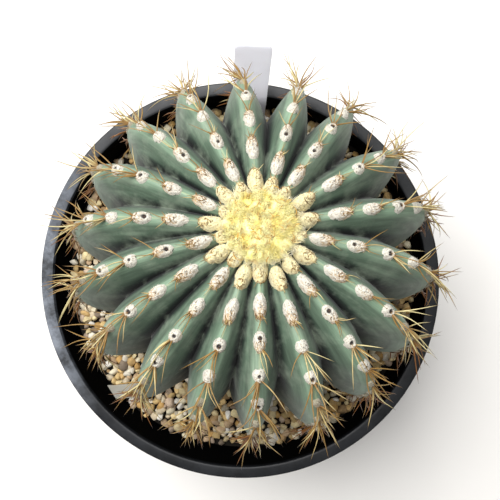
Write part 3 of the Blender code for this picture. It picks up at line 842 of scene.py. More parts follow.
@dataclass
class RibbedSkin:
    """The plant's skin as one fine closed mesh, down to a neck in the gravel."""

    form: BarrelForm
    columns_per_rib: int = 22
    bunching: float = 0.45
    first_ring: float = 2.0
    ring_step: float = 1.4
    ripple: float = 0.35
    neck_radius: float = 33.0
    neck_bottom: float = 124.0
    rib_offset: float = 37.0

    def build(self) -> bpy.types.Object:
        """Build the mesh with its across, down and rib_place attributes.

        Returns:
            The skin.
        """
        form = self.form
        count = self.columns_per_rib + 1
        spread = np.sin(np.linspace(-0.5 * math.pi, 0.5 * math.pi, count))
        shares = blend(np.linspace(-1.0, 1.0, count), spread, self.bunching)[1:]
        ribs = np.repeat(np.arange(len(form.ribs)), len(shares))
        shares = np.tile(shares, len(form.ribs))
        arcs = np.arange(self.first_ring, form.length, self.ring_step)
        rib_grid, arc_grid = np.meshgrid(ribs, arcs)
        share_grid = np.broadcast_to(shares, rib_grid.shape)
        points = form.surface(rib_grid.ravel(), share_grid.ravel(), arc_grid.ravel())
        points = self.weather(points, share_grid.ravel(), arc_grid.ravel())
        foot = form.foot()
        neck = circle(form.heading(ribs, shares), self.neck_radius, self.neck_bottom, foot[:2])
        crown = form.place(np.array([[0.0, 0.0, form.crown_height]]))
        base = np.array([[foot[0], foot[1], self.neck_bottom]])
        rows, columns = len(arcs) + 1, len(ribs)
        faces = [(a, d, c, b) for a, b, c, d in grid_faces(rows, columns)]
        top, bottom = rows * columns, rows * columns + 1
        last = (rows - 1) * columns
        for k in range(columns):
            faces.append((k, (k + 1) % columns, top))
            faces.append((last + (k + 1) % columns, last + k, bottom))
        parts = MeshParts()
        parts.add(np.concatenate((points, neck, crown, base)), faces)
        skin = parts.build("cactus_skin")
        side = share_grid * form.half_gap_mm(rib_grid, share_grid, arc_grid)
        tail = np.zeros((columns + 2, 3))
        place = np.stack((arc_grid, side, self.rib_offset * rib_grid), axis=-1).reshape(-1, 3)
        self.store(skin, "rib_place", "FLOAT_VECTOR", np.concatenate((place, tail)))
        across = np.abs(share_grid).ravel()
        self.store(skin, "across", "FLOAT", np.concatenate((across, np.zeros(columns + 2))))
        down = smoothstep(45.0, 130.0, arc_grid).ravel()
        self.store(skin, "down", "FLOAT", np.concatenate((down, np.ones(columns + 2))))
        return skin

    def weather(self, points: np.ndarray, shares: np.ndarray, arcs: np.ndarray) -> np.ndarray:
        """Add slow swells to the flanks and fine cross ripples low down.

        Args:
            points: The skin's points, which are moved in place.
            shares: Their signed shares of the way to a furrow.
            arcs: Their arc lengths from the crown.

        Returns:
            The moved points.
        """
        middle = np.array(self.form.centre)
        grown = smoothstep(25.0, 60.0, arcs)
        for k, (point, share, arc) in enumerate(zip(points, shares, arcs)):
            swell = noise.noise(Vector(point * 0.045)) * 1.3 + noise.noise(Vector(point * 0.16)) * 0.35
            wrinkle = 0.25 * math.sin(arc * 1.9 + 3.0 * noise.noise(Vector(point * 0.08)))
            wrinkled = wrinkle * float(smoothstep(96.0, 130.0, arc)) * abs(share)
            amount = self.ripple * swell * grown[k] + wrinkled
            away = point - middle
            points[k] = point + away / max(float(np.linalg.norm(away)), 1.0) * amount
        return points

    @staticmethod
    def store(piece: bpy.types.Object, name: str, kind: str, values: np.ndarray) -> None:
        """Store one value per vertex.

        Args:
            piece: The mesh object.
            name: The attribute's name.
            kind: Its data type, FLOAT or FLOAT_VECTOR.
            values: Its values, one row per vertex.
        """
        layer = piece.data.attributes.new(name, kind, "POINT")
        field_name = "vector" if kind == "FLOAT_VECTOR" else "value"
        layer.data.foreach_set(field_name, values.astype(np.float32).ravel())


@dataclass
class FeltAreoles:
    """The felt pads along the crests, with a fringe of hairs.

    Places on a pad are x and y, signed shares of its half length and half width, with x
    positive away from the crown.
    """

    form: BarrelForm
    rings: int = 12
    sides: int = 26
    hairs_per_pad: int = 230
    hair_width: float = 0.13
    scar_radius: float = 0.95
    scarless_share: float = 0.14
    reach_past_edge: float = 1.1
    lumpiness: float = 0.13
    no_scar: float = 9.0
    seed: int = 7
    cream: str = "#efe3b2"
    white: str = "#dcd7c9"
    grey: str = "#aea68f"
    gold: str = "#c79a4b"
    brown: str = "#6d4d26"
    scar: str = "#1d1410"
    scar_heart: str = "#5f4636"

    def build(self) -> list[bpy.types.Object]:
        """Build the pads and their hairs.

        Returns:
            The pads and the hairs.
        """
        pads = MeshParts()
        hairs = MeshParts()
        draw = np.random.default_rng(self.seed)
        for row in self.form.areoles:
            for areole in row:
                self.add_pad(pads, areole, draw)
                self.add_hairs(hairs, areole, draw)
        return [pads.build("areole_felt"), hairs.build("areole_hairs")]

    def scar_distance(self, areole: Areole, x: np.ndarray, y: np.ndarray) -> np.ndarray:
        """Return distances from the flower scar's middle as shares of its radius.

        Args:
            areole: The pad.
            x: Places along it.
            y: Places across it.

        Returns:
            One share per point, large where the pad has no scar.
        """
        chance = 0.5 + 0.5 * math.sin(7.3 * areole.rib + 1.9 * areole.arc)
        if areole.growth not in (Growth.SCARRED, Growth.BEARING) or chance < self.scarless_share:
            return np.full(len(x), self.no_scar)
        offset = -0.36 if areole.growth is Growth.SCARRED else 0.25 * (chance - 0.5)
        radius = self.scar_radius * (0.55 + 0.5 * chance)
        return np.hypot((x - offset) * areole.half_length, y * areole.half_width) / radius

    def height(self, areole: Areole, x: np.ndarray, y: np.ndarray) -> np.ndarray:
        """Work out the pad's height, which sinks at its edge and in its scar.

        Args:
            areole: The pad.
            x: Places along it.
            y: Places across it.

        Returns:
            Heights over the crest in millimetres.
        """
        reach = np.hypot(x, y)
        sunk = 1.0 - smoothstep(0.55, 1.15, self.scar_distance(areole, x, y))
        return areole.dome(reach) - 0.35 * smoothstep(0.9, 1.1, reach) - sunk

    def tone(self, areole: Areole, x: np.ndarray, y: np.ndarray, shade: np.ndarray) -> np.ndarray:
        """Return the felt's colour over a pad, by its age.

        Args:
            areole: The pad.
            x: Places along it.
            y: Places across it.
            shade: Brightness of each point, one at full; on a pad a painted shade of its lumps.

        Returns:
            Linear RGBA rows.
        """
        greyed = areole.growth in (Growth.OLD, Growth.SHEDDING)
        base = self.cream if areole.growth is Growth.CROWN else self.grey if greyed else self.white
        start = STAGES[areole.growth].gold_from
        mottle = x + 5.0 * (0.96 - shade)
        gold = smoothstep(start, start + 0.7, mottle)[:, None] * 0.7
        brown = smoothstep(start + 0.7, start + 1.5, mottle)[:, None] * 0.7
        colour = blend(blend(rgba(base), rgba(self.gold), gold), rgba(self.brown), brown)
        distance = self.scar_distance(areole, x, y)
        hole = (1.0 - smoothstep(0.7, 1.1, distance))[:, None]
        heart = (1.0 - smoothstep(0.1, 0.5, distance))[:, None] * 0.6
        colour = blend(colour * shade[:, None], blend(rgba(self.scar), rgba(self.scar_heart), heart), hole)
        colour[:, 3] = 1.0
        return colour

    def add_pad(self, parts: MeshParts, areole: Areole, draw: np.random.Generator) -> None:
        """Add one pad that follows the crest under it.

        Args:
            parts: The mesh to add to.
            areole: The pad.
            draw: The random numbers.
        """
        reach = np.linspace(0.0, self.reach_past_edge, self.rings + 1)[1:]
        reach_grid, turn_grid = np.meshgrid(reach, ring(self.sides), indexing="ij")
        phases = draw.uniform(0.0, FULL_TURN, 2)
        wobble = 1.0 + 0.1 * np.sin(2.0 * turn_grid + phases[0]) + 0.08 * np.sin(5.0 * turn_grid + phases[1])
        x = np.append((reach_grid * np.cos(turn_grid) * wobble).ravel(), 0.0)
        y = np.append((reach_grid * np.sin(turn_grid) * wobble).ravel(), 0.0)
        lumps = draw.normal(0.0, 1.0, len(x)) * (1.0 - smoothstep(0.85, 1.05, np.hypot(x, y)))
        lift = self.height(areole, x, y) + lumps * self.lumpiness * areole.rise
        points = self.spot(areole, x, y, lift)
        faces = grid_faces(len(reach), self.sides)
        middle = len(x) - 1
        faces += [(middle, k, (k + 1) % self.sides) for k in range(self.sides)]
        # Painted shade: the felt is darker where a lump sinks and lighter where it rises.
        shade = np.clip(0.96 + 0.1 * lumps, 0.62, 1.04)
        parts.add(points, faces, self.tone(areole, x, y, shade))

    def spot(self, areole: Areole, x: np.ndarray, y: np.ndarray, lift: np.ndarray) -> np.ndarray:
        """Find world points over a pad's bed.

        Args:
            areole: The pad.
            x: Places along it.
            y: Places across it.
            lift: Heights over the skin in millimetres.

        Returns:
            One point in millimetres per place.
        """
        arc = areole.arc + x * areole.half_length
        rib = np.full(len(x), areole.rib)
        share = y * areole.half_width / self.form.half_gap_mm(rib, y, arc)
        return self.form.surface(rib, share, arc, lift)

    def add_hairs(self, parts: MeshParts, areole: Areole, draw: np.random.Generator) -> None:
        """Add fine hairs that soften a pad's outline.

        Args:
            parts: The mesh to add to.
            areole: The pad.
            draw: The random numbers.
        """
        sparse = areole.growth in (Growth.OLD, Growth.SHEDDING)
        count = self.hairs_per_pad // 2 if sparse else self.hairs_per_pad
        reach = np.sqrt(draw.uniform(0.02, 1.0, count))
        turn = draw.uniform(0.0, FULL_TURN, count)
        x, y = reach * np.cos(turn), reach * np.sin(turn)
        keep = self.scar_distance(areole, x, y) > 1.1
        x, y, reach = x[keep], y[keep], reach[keep]
        root = self.spot(areole, x, y, self.height(areole, x, y) - 0.1)
        flare = 1.0 + draw.uniform(0.02, 0.26, len(x)) * reach
        sway = draw.normal(0.0, 0.09, (2, len(x)))
        longest = 1.3 if areole.growth is Growth.CROWN else 0.8
        lift = self.height(areole, x, y) + draw.uniform(0.2, longest, len(x))
        tip = self.spot(areole, x * flare + sway[0], y * flare + sway[1], lift)
        side = draw.normal(0.0, 1.0, (len(x), 3))
        side *= self.hair_width * 0.5 / np.linalg.norm(side, axis=1)[:, None]
        points = np.stack((root - side, root + side, tip), axis=1).reshape(-1, 3)
        faces = [(3 * k, 3 * k + 1, 3 * k + 2) for k in range(len(x))]
        shade = draw.uniform(0.72, 1.06, len(x))
        parts.add(points, faces, np.repeat(self.tone(areole, x, y, shade), 3, axis=0))


@dataclass
class PotShape:
    """Sizes of the turned pot and its fill, shared by the pot, the gravel and the spines."""

    height: float = 145.0
    rim_radius: float = 92.0
    lip_width: float = 5.2
    bevel: float = 1.0
    collar_depth: float = 17.0
    collar_step: float = 3.0
    base_radius: float = 69.0
    wall: float = 2.0
    floor: float = 3.0
    soil_level: float = 130.0

    def inner_radius(self, height: np.ndarray | float) -> np.ndarray | float:
        """Find the inner wall's radius.

        Args:
            height: The level above the pot's base.

        Returns:
            The radius there.
        """
        top = self.rim_radius - self.lip_width - self.bevel
        base = self.base_radius - self.wall
        return base + (top - base) * (height - self.floor) / (self.height - self.bevel - self.floor)


@dataclass
class Spines:
    """Every spine: a tapered, curved needle from the outward end of its areole."""

    form: BarrelForm
    pot: PotShape
    label_box: tuple
    sides: int = 5
    joints: int = 8
    tries: int = 6
    fan_degrees: float = 54.0
    first_degrees: float = 20.0
    rise_degrees: tuple = (10.0, 46.0)
    rise_by_try: float = 9.0
    arched_share: float = 0.22
    taper: float = 0.82
    outer_from: float = 84.0
    outer_length: tuple = (8.0, 13.5)
    seed: int = 19
    base_tone: str = "#7a5628"
    shaft_tone: str = "#92713a"
    pale_tone: str = "#d6ca94"
    rust_tone: str = "#7c4f24"
    gold_tone: str = "#d9a23a"
    tip_tone: str = "#5e452a"
    edge_margin: float = 0.025
    crown_curls: int = 46
    crown_rise: float = 4.9
    crown_edge: float = 17.5

    def build(self) -> bpy.types.Object:
        """Build all spines as one mesh.

        Returns:
            The spines.
        """
        parts = MeshParts()
        draw = random.Random(self.seed)
        for row in self.form.areoles:
            for areole in row:
                self.add_cluster(parts, areole, draw)
                self.add_pad_curls(parts, areole, draw)
        for _ in range(self.crown_curls):
            self.add_curl(parts, draw)
        return parts.build("spines")

    def add_curl(self, parts: MeshParts, draw: random.Random) -> None:
        """Add one soft golden spine that lies curled on the crown's felt.

        Args:
            parts: The mesh to add to.
            draw: The random numbers.
        """
        turn = draw.uniform(0.0, FULL_TURN)
        middle = draw.uniform(3.0, 14.5)
        size = draw.uniform(1.5, 2.8)
        bends = self.bends(draw, 1.2, 2.4)
        x = middle * math.cos(turn) + size * np.cos(bends)
        y = middle * math.sin(turn) + size * np.sin(bends)
        arc = np.hypot(x, y)
        lift = self.crown_rise * np.sqrt(np.maximum(1.0 - (arc / self.crown_edge) ** 2, 0.05))
        path = self.form.off_crest(np.arctan2(y, x), arc, lift)
        self.add_spine(parts, path, 0.17, 0.3, self.gold_tone)

    def bends(self, draw: random.Random, least: float, most: float) -> np.ndarray:
        """Return headings along a curl that sweeps between least and most radians."""
        start = draw.uniform(0.0, FULL_TURN)
        return start + draw.uniform(least, most) * np.linspace(0.0, 1.0, self.joints + 1)

    def add_pad_curls(self, parts: MeshParts, areole: Areole, draw: random.Random) -> None:
        """Add the new spines that lie bent on a young pad's outward half.

        Args:
            parts: The mesh to add to.
            areole: The pad.
            draw: The random numbers.
        """
        for _ in range(STAGES[areole.growth].curls):
            middle_x = draw.uniform(0.1, 0.8) * areole.half_length
            middle_y = draw.uniform(-0.35, 0.35) * areole.half_width
            size = draw.uniform(0.9, 1.9)
            bends = self.bends(draw, 1.0, 2.2)
            x = middle_x + size * np.cos(bends)
            y = middle_y + 0.8 * size * np.sin(bends)
            reach = np.hypot(x / areole.half_length, y / areole.half_width)
            arc = areole.arc + x
            rib = np.full(len(x), areole.rib)
            share = y / self.form.half_gap_mm(rib, y, arc)
            path = self.form.surface(rib, share, arc, areole.dome(reach) + 0.25)
            tone = self.shaft_tone if draw.random() < 0.6 else self.base_tone
            self.add_spine(parts, path, 0.15, 0.0, tone)

    def add_cluster(self, parts: MeshParts, areole: Areole, draw: random.Random) -> None:
        """Add one areole's fan of spines, short near the crown and long further out.

        A spine that would run into something is drawn again, each time standing up more.

        Args:
            parts: The mesh to add to.
            areole: Where the spines grow.
            draw: The random numbers.
        """
        axes = self.form.axes(areole.rib, areole.arc)
        grown = float(smoothstep(32.0, 62.0, areole.arc))
        rust_share = float(smoothstep(70.0, 92.0, areole.arc)) * 0.75
        for order in range(draw.randint(*STAGES[areole.growth].spines)):
            fan = self.fan_degrees if order else self.first_degrees
            for attempt in range(self.tries):
                length = self.length(areole, order, draw)
                spread = math.radians(draw.uniform(-fan, fan))
                rise = math.radians(draw.uniform(*self.rise_degrees) + self.rise_by_try * attempt)
                path = self.path(axes, areole, length, spread, rise, draw)
                if self.is_clear(path):
                    thick = (0.22 + 0.1 * grown) * draw.uniform(0.85, 1.2)
                    rusty = draw.random() < rust_share
                    shaft = self.rust_tone if rusty else self.shaft_tone
                    self.add_spine(parts, path, thick, 0.0 if rusty else draw.random(), shaft)
                    break

    def length(self, areole: Areole, order: int, draw: random.Random) -> float:
        """Draw a spine's length.

        Args:
            areole: Where it grows; the older, the longer, up to the outermost ones.
            order: Its order in the fan.
            draw: The random numbers.

        Returns:
            The length in millimetres.
        """
        stage = STAGES[areole.growth]
        if areole.growth is Growth.OLD and areole.arc >= self.outer_from:
            return draw.uniform(*self.outer_length)
        return draw.uniform(*(stage.long if order < stage.long_count else stage.short))

    def path(self, axes: Matrix, areole: Areole, length: float, spread: float, rise: float,
             draw: random.Random) -> np.ndarray:
        """Lay out a spine from inside the felt to its tip.

        Args:
            axes: The areole's axes.
            areole: Where it grows.
            length: Its length in millimetres.
            spread: Its angle to either side of the rib, in radians.
            rise: Its angle off the skin, in radians.
            draw: The random numbers, for how it arches and sways.

        Returns:
            World points down its middle, in millimetres.
        """
        aim = Vector((math.cos(spread) * math.cos(rise), math.sin(spread) * math.cos(rise), math.sin(rise)))
        root = Vector((0.62 * areole.half_length, 0.35 * areole.half_width * math.sin(spread), 0.5))
        arched = draw.random() < self.arched_share
        bow = Vector((0.35, draw.uniform(-0.5, 0.5), -1.0)).normalized()
        bow *= draw.uniform(0.35, 0.62) if arched else draw.uniform(-0.12, 0.3)
        sway = aim.cross(Vector((0.0, 0.0, 1.0))).normalized() * draw.uniform(-0.08, 0.08)
        points = []
        for k in range(self.joints + 1):
            t = k / self.joints
            local = root + aim * (length * t - 0.8 * (1.0 - t)) + bow * length * t * t
            local += sway * length * math.sin(math.pi * t * 1.3)
            points.append(axes @ local)
        return np.array(points)

    def is_clear(self, path: np.ndarray) -> bool:
        """Tell whether a spine misses the pot, the gravel and the standing label.

        Args:
            path: Points down its middle.

        Returns:
            True if it does, and stays near the solids' box.
        """
        over_gravel, off_pot, beside_label, off_label = 2.0, 0.8, 0.6, 1.1
        low, high = (np.array(corner) / MM for corner in CAD_BOX)
        margin = self.edge_margin * (high - low)
        reach = np.hypot(path[:, 0], path[:, 1])
        inner = self.pot.inner_radius(path[:, 2])
        origin, axes, half_width, top = self.label_box
        across, through, up = ((path - origin) @ axes).T
        hits = (
            path[:, 2] < self.pot.soil_level + over_gravel,
            path < low - margin,
            path > high + margin,
            (path[:, 2] < self.pot.height + off_pot) & (reach > inner - off_pot),
            (np.abs(across) < half_width + beside_label) & (np.abs(through) < off_label) & (up < top),
        )
        return not any(bool(np.any(hit)) for hit in hits)

    def add_spine(self, parts: MeshParts, path: np.ndarray, thick: float, pale_share: float,
                  colour: str) -> None:
        """Sweep a tapered tube along a path.

        Args:
            parts: The mesh to add to.
            path: Points down the middle, root first.
            thick: The radius at the root, in millimetres.
            pale_share: From 0 for a dark spine to 1 for a bleached one.
            colour: The shaft's sRGB hex colour.
        """
        rows = []
        tones = []
        side = Vector(path[1] - path[0]).orthogonal()
        fresh = float(smoothstep(0.4, 1.0, pale_share)) * 0.85
        shaft = blend(rgba(colour), rgba(self.pale_tone), fresh)
        tip = rgba(self.tip_tone)
        for k in range(self.joints):
            t = k / self.joints
            run = Vector(path[k + 1] - path[k]).normalized()
            side = (side - run * side.dot(run)).normalized()
            other = run.cross(side)
            radius = thick * (1.0 - self.taper * t ** 1.3)
            woody = blend(rgba(self.base_tone), shaft, float(smoothstep(0.0, 0.3, t)))
            tone = blend(woody, tip, float(smoothstep(0.72, 1.0, t)))
            for turn in ring(self.sides):
                out = np.array(side * math.cos(turn) + other * math.sin(turn))
                rows.append(path[k] + out * radius)
                tones.append(tone)
        rows.append(path[-1])
        tones.append(tip)
        faces = grid_faces(self.joints, self.sides)
        last = (self.joints - 1) * self.sides
        point = self.joints * self.sides
        faces += [(last + k, last + (k + 1) % self.sides, point) for k in range(self.sides)]
        parts.add(np.array(rows), faces, np.array(tones))


@dataclass
class CrownFelt:
    """The felt cushion on the crown: a lumpy dome with tufts of longer hairs.

    Places on it are x and y, millimetres from its middle along the skin.
    """

    form: BarrelForm
    edge: float = 14.6
    rise: float = 4.2
    rings: int = 26
    sides: int = 108
    tufts: int = 420
    hairs_per_tuft: int = 30
    hair_half_width: float = 0.075
    lobe: float = 0.9
    lobe_degrees: float = 10.0
    lump: float = 0.7
    seed: int = 3
    cream: str = "#f9f2b2"
    yellow: str = "#f5e78c"
    amber: str = "#deac46"
    fringe: str = "#f0ead0"

    def build(self) -> list[bpy.types.Object]:
        """Build the cushion and its tufts.

        Returns:
            The cushion and the tufts.
        """
        cushion = MeshParts()
        self.add_cushion(cushion)
        tufts = MeshParts()
        self.add_tufts(tufts)
        return [cushion.build("crown_cushion"), tufts.build("crown_tufts")]

    def edge_at(self, turn: np.ndarray) -> np.ndarray:
        """Find the cushion's reach, with a lobe on each rib.

        Args:
            turn: Headings.

        Returns:
            One reach in millimetres per heading.
        """
        away = (turn[..., None] - self.form.crests + math.pi) % FULL_TURN - math.pi
        nearest = np.abs(away).min(axis=-1)
        lobe = np.cos(np.clip(nearest / math.radians(self.lobe_degrees), 0.0, 1.0) * math.pi)
        return self.edge - self.lobe + self.lobe * lobe

    @staticmethod
    def drift(x: np.ndarray, y: np.ndarray, scale: float, layer: float) -> np.ndarray:
        """Return smooth noise over places, in a layer of its own."""
        rows = [noise.noise(Vector((a * scale, b * scale, layer))) for a, b in zip(x.ravel(), y.ravel())]
        return np.array(rows).reshape(x.shape)

    def lift(self, x: np.ndarray, y: np.ndarray, reach: np.ndarray) -> np.ndarray:
        """Work out the cushion's height, with its lumps.

        Args:
            x: Places one way.
            y: Places the other way.
            reach: Shares of the way to the cushion's edge.

        Returns:
            Heights over the skin in millimetres.
        """
        dome = self.rise * np.sqrt(np.clip(1.0 - reach ** 2.2, 0.0, 1.0))
        lumps = self.drift(x, y, 0.42, 1.7) + 0.5 * self.drift(x, y, 1.0, 5.0)
        return dome + self.lump * lumps * np.sqrt(np.clip(1.0 - reach, 0.0, 1.0)) + 0.2

    def spot(self, x: np.ndarray, y: np.ndarray, lift: np.ndarray) -> np.ndarray:
        """Return world points over the crown's unfurrowed skin."""
        return self.form.off_crest(np.arctan2(y, x), np.hypot(x, y), lift)

    def tone(self, x: np.ndarray, y: np.ndarray) -> np.ndarray:
        """Colour the felt cream with yellow and amber drifts and a pale fringe.

        Args:
            x: Places one way.
            y: Places the other way.

        Returns:
            Linear RGBA rows.
        """
        deep = smoothstep(-0.15, 0.45, self.drift(x, y, 0.30, 9.0))[:, None]
        amber = (smoothstep(0.2, 0.5, self.drift(x, y, 0.75, 21.0)) * 0.75)[:, None]
        pale = smoothstep(0.82, 1.0, np.hypot(x, y) / self.edge)[:, None]
        colour = blend(rgba(self.cream), rgba(self.yellow), deep)
        return blend(blend(colour, rgba(self.amber), amber), rgba(self.fringe), pale)

    def add_cushion(self, parts: MeshParts) -> None:
        """Add the lumpy dome, closed under its rim."""
        reach = np.concatenate((np.linspace(0.03, 1.0, self.rings), [1.0, 0.5]))
        reach_grid, turn_grid = np.meshgrid(reach, ring(self.sides), indexing="ij")
        arc = reach_grid * self.edge_at(turn_grid)
        x, y = arc * np.cos(turn_grid), arc * np.sin(turn_grid)
        lift = self.lift(x, y, reach_grid)
        lift[-2:] = -0.6
        points = self.spot(x.ravel(), y.ravel(), lift.ravel())
        rows = len(reach)
        faces = [(a, d, c, b) for a, b, c, d in grid_faces(rows, self.sides)]
        faces.append(tuple(range(self.sides)))
        faces.append(tuple(reversed(range((rows - 1) * self.sides, rows * self.sides))))
        parts.add(points, faces, self.tone(x.ravel(), y.ravel()))

    def add_tufts(self, parts: MeshParts) -> None:
        """Add tufts of curved hairs over the cushion."""
        draw = np.random.default_rng(self.seed)
        for _ in range(self.tufts):
            reach = math.sqrt(draw.uniform(0.0, 1.0)) * 0.97
            turn = draw.uniform(0.0, FULL_TURN)
            outward = np.array([math.cos(turn), math.sin(turn)])
            middle = outward * reach * self.edge
            lean = draw.normal(0.0, 0.55, 2) + 0.4 * reach * outward
            count = self.hairs_per_tuft
            root = middle + draw.normal(0.0, 0.45, (count, 2))
            length = draw.uniform(1.0, 2.2, count)[:, None]
            tip = root + (lean + draw.normal(0.0, 0.3, (count, 2))) * length
            base = self.lift(root[:, 0], root[:, 1], np.clip(np.hypot(*root.T) / self.edge, 0.0, 1.0)) - 0.2
            top = base + length[:, 0] * draw.uniform(0.5, 0.9, count)
            bend = root + (tip - root) * 0.35
            low = self.spot(root[:, 0], root[:, 1], base)
            mid = self.spot(bend[:, 0], bend[:, 1], base + 0.65 * (top - base))
            high = self.spot(tip[:, 0], tip[:, 1], top)
            side = draw.normal(0.0, 1.0, (count, 3))
            side *= self.hair_half_width / np.linalg.norm(side, axis=1)[:, None]
            points = np.stack((low - side, low + side, mid - side, mid + side, high), axis=1).reshape(-1, 3)
            faces = []
            for k in range(count):
                faces.append((5 * k, 5 * k + 1, 5 * k + 3, 5 * k + 2))
                faces.append((5 * k + 2, 5 * k + 3, 5 * k + 4))
            tone = self.tone(root[:, 0], root[:, 1]) * draw.uniform(0.88, 1.08)
            parts.add(points, faces, np.repeat(tone, 5, axis=0))


@dataclass
class GravelFill:
    """The pot's fill: loose angular grit on a near-black bed: soil plus painted shade between stones.

    Stones lie on a jittered triangular lattice, lower under the fallen label.
    """

    form: BarrelForm
    pot: PotShape
    pitch: float = 3.3
    row_share: float = 0.866
    shift: float = 0.9
    size: tuple = (1.5, 2.5)
    planes: int = 9
    plane_depth: tuple = (0.55, 0.85)
    stretch: tuple = (0.72, 1.35)
    bed_sides: int = 96
    bed_drop: float = 1.8
    seed: int = 23
    neck_radius: float = 34.0
    scrap_middle: tuple = (-54.0, -54.2)
    scrap_reach: tuple = (11.5, 5.0)
    scrap_drop: float = 1.6
    stones: tuple = ("#e3cf9f", "#d6b278", "#efe6d2", "#f5f0e4", "#c9b29a", "#c2a684", "#b3946a",
                     "#e8dcc0", "#d8c7a8", "#9c8b78", "#ecd9a8", "#cfa668", "#dcbd84", "#f0e4c4")
    # Painted shade: the bed is near black so the gaps between stones and along the wall read as shade; partly
    # soil colour.
    bed: str = "#17130d"
    mound_drop: float = 2.0

    def build(self) -> list[bpy.types.Object]:
        """Build the bed and the loose grit on it.

        Returns:
            The bed and the grit.
        """
        bed = MeshParts()
        self.add_bed(bed)
        grit = MeshParts()
        self.add_grit(grit)
        return [bed.build("gravel_bed", 40.0), grit.build("gravel_grit", 50.0)]

    def add_bed(self, parts: MeshParts) -> None:
        """Add the closed fill under the loose grit.

        Args:
            parts: The mesh to add to.
        """
        floor = self.pot.floor
        rim = self.level(self.pot.rim_radius) - self.bed_drop
        levels = ((floor + 0.3, -3.5), (floor + 3.0, -0.3), (rim, -0.3))
        sides = self.bed_sides
        turn = ring(sides)
        rows = [circle(turn, self.pot.inner_radius(height) + inset, height) for height, inset in levels]
        middles = np.array([[0.0, 0.0, levels[0][0]], [0.0, 0.0, self.pot.soil_level - self.bed_drop]])
        faces = grid_faces(len(rows), sides)
        low, high, last = 3 * sides, 3 * sides + 1, 2 * sides
        for k in range(sides):
            after = (k + 1) % sides
            faces.append((after, k, low))
            faces.append((last + k, last + after, high))
        # The bed's near-black colour is soil colour with painted shade.
        parts.add(np.concatenate((*rows, middles)), faces, linear(self.bed))

    def add_grit(self, parts: MeshParts) -> None:
        """Scatter stones between the plant's neck and the wall.

        Args:
            parts: The mesh to add to.
        """
        draw = np.random.default_rng(self.seed)
        shell, shell_faces = self.unit_stone()
        foot = self.form.foot()
        edge = self.pot.inner_radius(self.pot.soil_level) - 0.4
        step = self.pitch * self.row_share
        rows = int(edge / step) + 1
        tones = [rgba(stone) for stone in self.stones]
        for row in range(-rows, rows + 1):
            for column in range(-rows - 3, rows + 4):
                x = (column + 0.5 * (row % 2)) * self.pitch + draw.uniform(-self.shift, self.shift)
                y = row * step + draw.uniform(-self.shift, self.shift)
                size = draw.uniform(*self.size)
                reach = math.hypot(x, y)
                past_edge = reach > edge - size * 0.6
                if past_edge or math.hypot(x - foot[0], y - foot[1]) < self.neck_radius + 0.4 * size:
                    continue
                height = self.level(reach) - 0.9 + draw.uniform(-0.7, 0.9)
                off_scrap = np.abs(np.array([x, y]) - self.scrap_middle)
                if np.all(off_scrap < self.scrap_reach):
                    height -= self.scrap_drop
                tone = tones[int(draw.integers(len(tones)))] * draw.uniform(0.58, 1.0)
                stone = self.stone(shell, size, draw)
                parts.add(stone + np.array([x, y, height]), shell_faces, np.append(tone[:3], 1.0))

    def level(self, radius: float) -> float:
        """Return the gravel's level, which falls a little toward the wall."""
        return self.pot.soil_level - self.mound_drop * float(smoothstep(58.0, 84.0, radius))

    @staticmethod
    def unit_stone() -> tuple[np.ndarray, list]:
        """Make a sphere by splitting an icosahedron's triangles once.

        Returns:
            Its points, one unit from the middle, and its triangles.
        """
        ratio = (1.0 + math.sqrt(5.0)) / 2.0
        corners = [Vector(p).normalized() for a in (-1.0, 1.0) for b in (-ratio, ratio)
                   for p in ((a, b, 0.0), (0.0, a, b), (b, 0.0, a))]
        near = min((corners[0] - other).length for other in corners[1:]) * 1.05
        triangles = []
        for i in range(12):
            for j in range(i + 1, 12):
                for k in range(j + 1, 12):
                    pairs = ((i, j), (j, k), (i, k))
                    if all((corners[a] - corners[b]).length < near for a, b in pairs):
                        normal = (corners[j] - corners[i]).cross(corners[k] - corners[i])
                        triangles.append((i, j, k) if normal.dot(corners[i]) > 0.0 else (i, k, j))
        points = list(corners)
        halves = {}
        fine = []
        for triangle in triangles:
            mids = []
            for a, b in zip(triangle, triangle[1:] + triangle[:1]):
                key = frozenset((a, b))
                if key not in halves:
                    halves[key] = len(points)
                    points.append(((points[a] + points[b]) / 2.0).normalized())
                mids.append(halves[key])
            i, j, k = triangle
            fine += [(i, mids[0], mids[2]), (j, mids[1], mids[0]), (k, mids[2], mids[1]), tuple(mids)]
        return np.array([tuple(p) for p in points]), fine

    def stone(self, shell: np.ndarray, size: float, draw: np.random.Generator) -> np.ndarray:
        """Make one angular stone: a sphere planed flat on random sides, then stretched.

        Args:
            shell: The unit sphere's points.
            size: The stone's rough half size in millimetres.
            draw: The random numbers.

        Returns:
            The stone's points about its middle.
        """
        points = shell.copy()
        for _ in range(self.planes):
            normal = draw.normal(0.0, 1.0, 3)
            normal /= np.linalg.norm(normal)
            over = np.maximum(points @ normal - draw.uniform(*self.plane_depth), 0.0)
            points -= over[:, None] * normal
        points *= size * draw.uniform(*self.stretch, 3)
        points += draw.normal(0.0, 0.03 * size, points.shape)
        turns = draw.uniform(0.0, FULL_TURN, 3)
        first, second, third = (Matrix.Rotation(turn, 3, axis) for turn, axis in zip(turns, "XYZ"))
        return points @ np.array(first @ second @ third)


